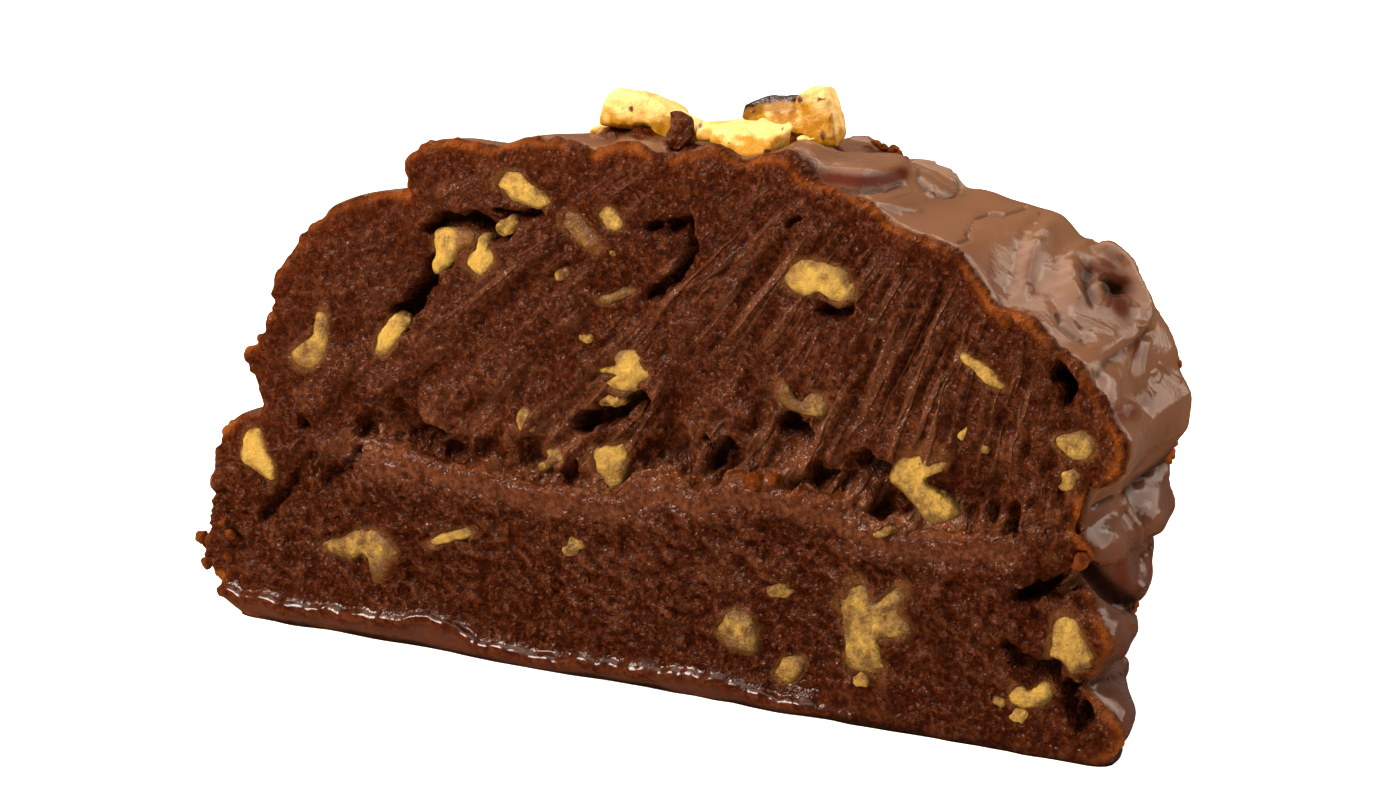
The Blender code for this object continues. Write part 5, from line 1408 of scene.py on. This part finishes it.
@dataclass
class FudgeSlice:
    """The slice of fudge: one closed body with its cut face, its skin and its flat underside."""
    cut_face: CutFace = field(default_factory=CutFace)
    skin: PouredSkin = field(default_factory=PouredSkin)
    blank_grain: float = 0.8
    grain: float = 0.66
    hidden_share: float = 0.3
    kept_share: float = 0.73

    def blank(self) -> bpy.types.Object:
        """Extrude the outline of the cut face to the back.

        Returns:
            The blank, with faces of an even size.
        """
        outline = curve_through(CUT_OUTLINE, 3)
        made = upright_face(outline[:, 0], outline[:, 1], FRONT)
        extrude_back(made, (BACK - FRONT,))
        even_grain(made, self.blank_grain)
        return made

    def shape(self, made: bpy.types.Object) -> None:
        """Move the blank's surface into the slice's own form.

        Args:
            made: The blank.
        """
        points, normals = surface(made.data.vertices)
        x, y, z = points.T
        inward = smooth_step((y - FRONT) / (BACK - FRONT))
        shift = self.skin.back_shift(x, z) * inward[:, None]
        held = np.clip(z / 8.0, 0.0, 1.0)
        drift, size = self.skin.drift, self.skin.drift_size
        moved = points.copy()
        moved[:, 0] += shift[:, 0] + drift * inward * held * lumps(points, size, 51)
        moved[:, 2] += (shift[:, 1] + drift * inward * lumps(points, size, 52)) * held
        side = 1.0 - np.abs(normals[:, 1])
        moved += normals * (side * self.skin.relief(points, moved, normals))[:, None]
        moved[:, 2] += smooth_step((normals[:, 2] - 0.3) / 0.4) * self.torn_top(points)
        moved[:, 1] -= smooth_step((FRONT + 5.0 - y) / 5.0) * self.cut_face.coarse(x, z)
        moved[:, 1] += smooth_step((y - BACK + 5.0) / 5.0) * 0.6 * lumps(points, 4.0, 41)
        put_points(made, moved)
        even_grain(made, self.grain)

    def torn_top(self, points: np.ndarray) -> np.ndarray:
        """Raise the rough broken fudge on the top.

        Args:
            points: Rows of places.

        Returns:
            How high it stands at each of them.
        """
        height = np.zeros(len(points))
        for middle, reach, tall in TORN_TOP:
            away = np.linalg.norm(points[:, :2] - np.array(middle), axis=1) / reach
            height = np.maximum(height, tall * smooth_step(1.0 - away + 0.3 * lumps(points, 1.2, 55)))
        return height * (points[:, 2] > 50)

    def cut_underside(self, made: bpy.types.Object) -> None:
        """Cut the slice off flat along its underside.

        Args:
            made: The slice.
        """
        with editing(made):
            bpy.ops.mesh.bisect(plane_co=(0.0, 0.0, 0.0), plane_no=(0.0, 0.0, 1.0), use_fill=True,
                                clear_inner=True, threshold=1e-6)

    def refine(self, made: bpy.types.Object) -> None:
        """Split the faces that show most, and thin out those at the back and under the slice.

        Args:
            made: The slice.
        """
        middles, normals = surface(made.data.polygons)
        hidden = ((normals[:, 1] > 0.7) & (middles[:, 1] > BACK - 4.0)) | (normals[:, 2] < -0.95)
        with editing(made, hidden):
            bpy.ops.mesh.decimate(ratio=self.hidden_share)
        middles, normals = surface(made.data.polygons)
        cut = (middles[:, 1] < FRONT + 4.5) & (normals[:, 1] < 0.35)
        near_side = (middles[:, 0] > 17.0) & (normals[:, 1] < 0.6)
        top = (middles[:, 2] > 50.0) & (middles[:, 0] > -10.0) & (normals[:, 2] > 0.2)
        with editing(made, (cut | near_side | top) & (middles[:, 2] > 0.4)):
            bpy.ops.mesh.subdivide(number_cuts=1)
            bpy.ops.mesh.vertices_smooth(factor=0.5, repeat=1)

    def carve(self, made: bpy.types.Object, walnuts: list) -> None:
        """Carve the small forms, and store what the material reads.

        Args:
            made: The slice.
            walnuts: The walnuts set in its cut face, each with a method that says how near a place is.
        """
        face = self.cut_face
        points, normals = surface(made.data.vertices)
        x, y, z = points.T
        from_edge = route_distance(np.stack([x, z], axis=1), CUT_OUTLINE[1:-1])
        behind = y - (FRONT - face.coarse(x, z))
        cut = smooth_step((2.4 - behind) / 1.6) * smooth_step((0.4 - normals[:, 1]) / 0.4)
        cut *= np.where(behind > 1.2, smooth_step((from_edge - 0.8) / 1.5), 1.0)
        held = smooth_step(z / 1.2)
        fine, pale, streaky, smear = face.fine(x, z, from_edge)
        halo = np.zeros(len(points))
        ragged = 0.07 * lumps(points, 1.1, 93)
        for walnut in walnuts:
            share = walnut.share(x, z) + ragged
            around = smooth_step((1.25 - share) / 0.3)
            fine = fine * (1 - 0.4 * around) - walnut.recess * smooth_step((0.88 - share) / 0.14)
            halo = np.maximum(halo, smooth_step((1.22 - share) / 0.27))
        back = smooth_step((y - BACK + 2.0) / 1.5) * smooth_step((normals[:, 1] - 0.4) / 0.4)
        seen, facing = seen_places(points), facing_share(normals)
        skin_fine = sum(tall * lumps(points, size, pattern) for size, tall, pattern in self.skin.waves)
        skin_fine += facing * self.skin.line_strength * grooves(seen, SKIN_LINES)
        skin_fine += 0.35 * back * lumps(points, 2.2, 85)
        broken = (1 - cut) * smooth_step(self.torn_top(points) / 0.3) * smooth_step(normals[:, 2] / 0.3)
        skin_fine += broken * (0.35 * lumps(points, 1.1, 83) + 0.3 * grains(points, 1.0, 84))
        height = cut * fine + (1 - cut) * skin_fine
        put_points(made, points + normals * (held * height)[:, None])
        patch = 0.3 * lumps(points, 2.5, 91)
        # The skin's deep furrows and holes, which are painted dark as shade
        dark = tuple((route, half_width, -share * tall)
                     for lines, share, deeper in ((SKIN_FOLDS, 0.5, -1.2), (SKIN_LINES, 2.2, -0.22))
                     for route, half_width, tall in lines if tall < deeper)
        dark_skin = np.clip(facing * grooves(seen, dark), 0, 1)
        foot = face.above_foot(x, z)
        under_foot = cut * smooth_step((-foot - 0.8) / 0.6) * face.footed(x)
        red_edge = np.exp(-((foot + 0.8) / 0.35) ** 2) * face.footed(x)
        # Painted shadow along the bottom edge, where the slice rounds under
        bottom = 0.8 * smooth_step((0.75 + 0.4 * lumps(points, 4.0, 94) - z) / 0.4)
        reach = 2.4 - 1.2 * smooth_step((x - 12) / 14)
        near_edge = 0.8 * np.exp(-from_edge / reach) * (0.8 + 1.5 * patch) + 0.6 * broken
        rust = np.maximum(np.maximum(near_edge, red_edge), 0.6 * face.ledge_edge(x, z))
        rough = np.maximum(broken, back)
        # Painted glow: an amber band along the cut edge and in patches on the ledge's edge, as if light from
        # behind shines through thin fudge
        fringe = np.clip(0.4 + 2 * patch, 0, 1) * np.exp(-(from_edge / 0.4) ** 2)
        fringe = np.maximum(fringe, 0.15 * face.ledge_edge(x, z) * smooth_step((patch + 0.15) / 0.2))
        # Painted shade: near black in the cut face's cracks and holes and in the skin's deep furrows and
        # holes
        hollow = cut * 0.75 * face.hollow(x, z) + (1 - cut) * 0.9 * dark_skin
        put_attributes(
            made,
            skin=(1 - cut) * (1 - broken) * (1 - back) + 0.75 * under_foot,
            # Redder thin skin, and painted shade on the tongue's front wall and round the hole
            flush=(1 - cut) * facing * np.clip(grooves(seen, SKIN_FLUSHES), 0, 1),
            # Painted sheen on the cut face, and pale patches on the rough back
            pale=cut * pale + 0.4 * back * smooth_step(0.5 + 2 * patch),
            halo=0.6 * cut * halo * (0.8 + patch),
            rim=np.maximum(cut, rough) * np.clip(rust, 0, 0.7),
            grainy=np.maximum(cut * face.grainy(x, z), rough),
            fringe=cut * fringe,
            hollow=np.maximum(hollow, bottom),
            smooth=cut * np.maximum(face.smooth(x, z), 0.6 * smear),
            streaky=cut * streaky + 0.5 * back,
            drag=face.drag(x, z))

    def thin(self, made: bpy.types.Object) -> None:
        """Thin the faces where the surface is smooth, so that the piece stays under 200,000 triangles."""
        apply_modifier(made, "DECIMATE", ratio=self.kept_share)

    def build(self, walnuts: list, material: bpy.types.Material) -> bpy.types.Object:
        """Build and dress the slice.

        Args:
            walnuts: The walnuts set in its cut face.
            material: The fudge.

        Returns:
            The finished piece.
        """
        made = self.blank()
        self.shape(made)
        self.cut_underside(made)
        self.refine(made)
        self.carve(made, walnuts)
        self.thin(made)
        return finish_piece(made, "fudge_slice", material, "fudge", ("fudge",))


@dataclass
class CutWalnut:
    """One walnut that shows in the cut face: its outline reaches in from the face to a rounded end."""
    name: str
    browned: float
    middle: tuple
    outline: tuple
    proud: float = 0.35
    depth_share: float = 0.75
    deepest: float = 5.0
    back_share: float = 0.6
    grain: float = 0.22
    recess: float = 0.5
    dome: float = 0.5
    roughness: tuple = ((1.3, 0.16), (0.6, 0.1))
    knife_ridges: tuple = ((0.5, 2.5, 1.0), 0.07)
    pair_skin_from: float = -21.9

    def __post_init__(self) -> None:
        """Turn the outline into a radius for each direction, and find the face's place."""
        corners = curve_through(self.outline, 4)
        away = corners - np.array(self.middle)
        order = np.argsort(np.arctan2(away[:, 1], away[:, 0]))
        self.turns = np.arctan2(away[:, 1], away[:, 0])[order]
        self.radii = np.linalg.norm(away, axis=1)[order]
        spots = np.array(self.outline)
        low, high = spots.min(axis=0), spots.max(axis=0)
        length = float(np.max(high - low))
        spread = (low + high) / 2 + np.array(list(itertools.product((-1, 0, 1), repeat=2))) * length / 4
        self.face = FRONT - float(np.mean(CutFace().coarse(spread[:, 0], spread[:, 1]))) - self.proud
        self.back = self.face + min(self.depth_share * length, self.deepest)

    def share(self, x: np.ndarray, z: np.ndarray) -> np.ndarray:
        """Measure how far out each place lies.

        Args:
            x: Along the slice.
            z: Up.

        Returns:
            0 at the walnut's middle, 1 on its outline and more past it.
        """
        away = np.stack([x, z], axis=1) - np.array(self.middle)
        turns = np.arctan2(away[:, 1], away[:, 0])
        return np.linalg.norm(away, axis=1) / np.interp(turns, self.turns, self.radii, period=2 * math.pi)

    def block(self) -> bpy.types.Object:
        """Extrude the outline from the face to the back, and narrow the back.

        Returns:
            The block, with faces of an even size.
        """
        made = upright_face(self.middle[0] + self.radii * np.cos(self.turns),
                            self.middle[1] + self.radii * np.sin(self.turns), self.face)
        steps = (0.4 * (self.back - self.face), 0.6 * (self.back - self.face))
        extrude_back(made, steps, (self.middle[0], self.back, self.middle[1]), self.back_share)
        even_grain(made, self.grain)
        return made

    def build(self, material: bpy.types.Material) -> bpy.types.Object:
        """Build and dress the walnut.

        Args:
            material: The walnut's material.

        Returns:
            The finished piece.
        """
        made = self.block()
        soften(made)
        points, normals = surface(made.data.vertices)
        x, y, z = points.T
        share = np.clip(self.share(x, z), 0, 1)
        seed = pattern_of(self.name)
        height = sum(tall * lumps(points, size, seed + i) for i, (size, tall) in enumerate(self.roughness))
        size, tall = self.knife_ridges
        height += tall * lumps(CutFace().fan(x, z), size, seed + 3)
        moved = points + normals * height[:, None]
        moved[:, 1] += np.where(y < self.face + 1.0, self.dome * share ** 4, 0.0)
        put_points(made, moved)
        ragged = 0.25 * lumps(points, 0.9, seed + 2)
        stain = 0.75 * smooth_step((share - 0.66 + 1.2 * ragged) / 0.3)
        papery = 0.0
        if self.name == "brown_skinned":
            papery = 0.55 * smooth_step((lumps(points, 1.6, seed + 5) + 0.5) / 0.5)
        if self.name == "pair_left":
            papery = 0.8 * smooth_step((x - self.pair_skin_from + ragged) / 0.5)
        put_attributes(made, browned=self.browned, stain=stain, papery=papery)
        return finish_piece(made, "kernel_" + self.name, material, "walnut_cut", ("walnut_" + self.name,))


@dataclass
class WalnutBits:
    """The small bits of walnut that show in the cut face, fused into one piece."""
    rows: tuple = WALNUT_BITS
    depth: float = 1.4
    proud: float = 0.45

    def build(self, material: bpy.types.Material) -> bpy.types.Object:
        """Build and dress the bits.

        Args:
            material: The walnut's material.

        Returns:
            The finished piece.
        """
        bits = []
        for number, ((x, z), length, height, tilt, browned) in enumerate(self.rows):
            face = FRONT - float(CutFace().coarse(np.array([x]), np.array([z]))[0])
            middle = np.array([x, face + self.depth - self.proud, z])
            made = rough_ball(middle, (0.65 * length, self.depth, 0.65 * height), tilt, 300 + number)
            points, _ = surface(made.data.vertices)
            edge = np.linalg.norm((points - middle)[:, [0, 2]], axis=1) / (length / 2)
            put_attributes(made, browned=0.7 * browned, stain=smooth_step((edge - 0.8) / 0.4), papery=0.0)
            bits.append(made)
        return finish_piece(join_all(bits), "walnut_bits", material, "walnut_cut")


@dataclass
class Crumbs:
    """The rough crumbs of fudge along the back edge and the left end, fused into one piece."""
    rows: tuple = CRUMBS

    def build(self, material: bpy.types.Material) -> bpy.types.Object:
        """Build and dress the crumbs.

        Args:
            material: The fudge.

        Returns:
            The finished piece.
        """
        crumbs = [rough_ball(middle, (reach, reach, 0.8 * reach), 40.0 * number, 400 + number)
                  for number, (middle, reach) in enumerate(self.rows)]
        made = join_all(crumbs)
        points, _ = surface(made.data.vertices)
        # Painted glow: the crumbs at the back are painted amber, as if lit through from behind, and those at
        # the front less so
        fringe = np.where(points[:, 1] > 0, 0.85, 0.3) * (0.8 + 0.5 * lumps(points, 0.7, 95))
        put_attributes(made, rim=0.9, fringe=fringe)
        return finish_piece(made, "fudge_crumbs", material, "crumb")


@dataclass
class TopPiece:
    """One piece lying on the top, made from the form of its node."""
    node: str
    slot: str
    grain: float = 0.2
    roughness: tuple = ((1.6, 0.16), (0.8, 0.1), (0.45, 0.05))
    right_sunk: float = 0.8
    right_sunk_below: float = 63.9
    arch_end: float = 14.2

    def build(self, material: bpy.types.Material) -> bpy.types.Object:
        """Build and dress the piece.

        Args:
            material: Its material.

        Returns:
            The finished piece.
        """
        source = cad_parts[self.node]
        made = bpy.data.objects.new(self.node, source.data.copy())
        bpy.context.collection.objects.link(made)
        with editing(made):
            bpy.ops.mesh.remove_doubles(threshold=0.002 * MM)
        even_grain(made, self.grain)
        soften(made)
        points, normals = surface(made.data.vertices)
        if self.node == "walnut_top_right":
            points[:, 2] -= smooth_step((self.right_sunk_below - points[:, 2]) / 1.5) * self.right_sunk
        seed = pattern_of(self.node)
        height = sum(tall * lumps(points, size, seed + i) for i, (size, tall) in enumerate(self.roughness))
        put_points(made, points + normals * height[:, None])
        x, _, z = points.T
        ragged = 0.5 * lumps(points, 0.8, seed + 6)
        level = (z - z.min()) / (z.max() - z.min())
        # Painted shade: the lower parts and the faces turned to the side are painted deeper gold
        low = smooth_step((0.75 + 0.5 * ragged - level) / 0.5) * smooth_step((0.6 - normals[:, 2]) / 0.5)
        browned = low + 0.3 * smooth_step((0.6 - normals[:, 2]) / 0.8) + 0.3 * lumps(points, 2.5, seed + 8)
        stain = smooth_step((lumps(points, 0.8, seed + 9) - 0.82) / 0.12)
        for middle, reach in SPECKS:
            away = np.linalg.norm(points[:, [0, 2]] - np.array(middle), axis=1)
            stain = np.maximum(stain, smooth_step((reach * (0.8 + ragged) - away) / 0.15))
        papery = np.zeros(len(points))
        if self.node == "walnut_top_right":
            under = along(DARK_SKIN, x) - z + 0.4 * ragged
            arch = smooth_step((self.arch_end - x) / 0.5)
            papery = arch * smooth_step((0.75 - under) / 0.25)
            # The flesh under the skin's arch, painted deeper and darker as shade in the recess
            flesh = arch * smooth_step((1.9 + ragged - under) / 0.4)
            browned += 0.9 * flesh
            stain = np.maximum(stain, 0.5 * flesh)
        # Painted shadow along the foot of each piece, where it rests
        stain = np.maximum(stain, 0.5 * smooth_step((0.14 + 0.2 * ragged - level) / 0.14))
        # The crumb is painted rusty, with patches of the same painted sheen as the cut face
        if self.slot == "crumb":
            put_attributes(made, rim=0.7 + 0.5 * ragged, pale=0.4 + ragged)
        put_attributes(made, browned=browned, stain=stain, papery=papery)
        return finish_piece(made, self.node + "_piece", material, self.slot, (self.node,))


@dataclass(frozen=True)
class Studio:
    """The pale floor, the soft light and the camera."""
    lens: float = 99.09
    floor_size: float = 8000.0
    floor_colour: str = "F4F3F1"
    floor_glow: float = 0.82
    tent_glow: float = 0.13
    light_colour: str = "FFEFDF"

    def floor(self) -> None:
        """Lay the floor just under the slice."""
        deselect_all()
        bpy.ops.mesh.primitive_plane_add(size=self.floor_size * MM, location=(0.0, 0.0, -0.02 * MM))
        floor = bpy.context.object
        floor.name = "floor"
        white = linear(self.floor_colour)
        material, _, _ = new_material("white card", {
            "Base Color": white, "Roughness": 0.9, "Specular IOR Level": 0.1, "Emission Color": white,
            "Emission Strength": self.floor_glow})
        floor.data.materials.append(material)
        floor.visible_glossy = False

    def world(self) -> None:
        """Surround the slice with white card, dark only where the photographer stands and below."""
        world = bpy.data.worlds.new("white card tent")
        world.use_nodes = True
        bpy.context.scene.world = world
        tree = world.node_tree
        way = add_node(tree, "SeparateXYZ", {}, {0: add_node(tree, "TexCoord", out="Generated")}).node
        slope = add_node(tree, "Math", {"operation": "MULTIPLY_ADD", 1: 0.4},
                         {0: way.outputs["Y"], 2: way.outputs["Z"]})
        light = add_node(tree, "MapRange", {"interpolation_type": "SMOOTHSTEP", "From Min": -0.2,
                                            "From Max": 0.3, "To Min": 0.0, "To Max": self.tent_glow},
                         {"Value": slope})
        tree.links.new(light, tree.nodes["Background"].inputs["Strength"])
        tree.nodes["Background"].inputs["Color"].default_value = linear(self.light_colour)

    def lights(self) -> None:
        """Hang the soft boxes: name, place and aim in mm, size in mm and power in watts."""
        boxes = (("overhead", (0, 60, 420), (0, 0, 30), 600, 3.1),
                 ("front left", (-260, -330, 330), (0, -10, 35), 220, 4.6),
                 ("right back", (330, 260, 260), (40, 0, 35), 400, 1.5))
        for name, place, aim, size, power in boxes:
            bpy.ops.object.light_add(type="AREA", location=tuple((np.array(place) + DRAWING_TO_FRAME) * MM))
            lamp = bpy.context.object
            lamp.name = name
            lamp.rotation_euler = (Vector(place) - Vector(aim)).to_track_quat("Z", "Y").to_euler()
            lamp.data.size = size * MM
            lamp.data.energy = power
            lamp.data.color = linear(self.light_colour)[:3]

    def camera(self) -> None:
        """Stand the camera at the photograph's place."""
        back = view_axes()[2]
        place = np.array(VIEW_TARGET) + DRAWING_TO_FRAME + VIEW_DISTANCE * back
        aim = Vector(back).to_track_quat("Z", "Y").to_euler()
        bpy.ops.object.camera_add(location=tuple(place * MM), rotation=aim)
        camera = bpy.context.object
        camera.data.lens = self.lens
        camera.data.clip_start = 0.01
        camera.data.clip_end = 20.0
        bpy.context.scene.camera = camera

    def build(self) -> None:
        """Set up the floor, the light, the camera and the plain colour transform."""
        self.camera()
        self.floor()
        self.world()
        self.lights()
        bpy.context.scene.view_settings.view_transform = "Standard"


def main() -> None:
    """Build the studio, the walnuts and the slice."""
    logging.basicConfig(level=logging.INFO, format="%(name)s %(message)s")
    Studio().build()
    cut_kernel = Walnut.CUT.value.material()
    walnuts = [CutWalnut(*row) for row in CUT_WALNUTS]
    for walnut in walnuts:
        walnut.build(cut_kernel)
    WalnutBits().build(cut_kernel)
    fudge = FudgeFinish().material()
    FudgeSlice().build(walnuts, fudge)
    top_kernel = Walnut.TOP.value.material()
    for node in sorted(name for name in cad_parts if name.startswith("walnut_top")):
        TopPiece(node, "walnut_top").build(top_kernel)
    TopPiece("fudge_crumb", "crumb").build(fudge)
    Crumbs().build(fudge)
    finish_piece(rough_ball(FLAKE, (1.1, 0.7, 0.35), 5.0, 460), "walnut_flake", top_kernel, "walnut_top")


if __name__ == "__main__":
    main()
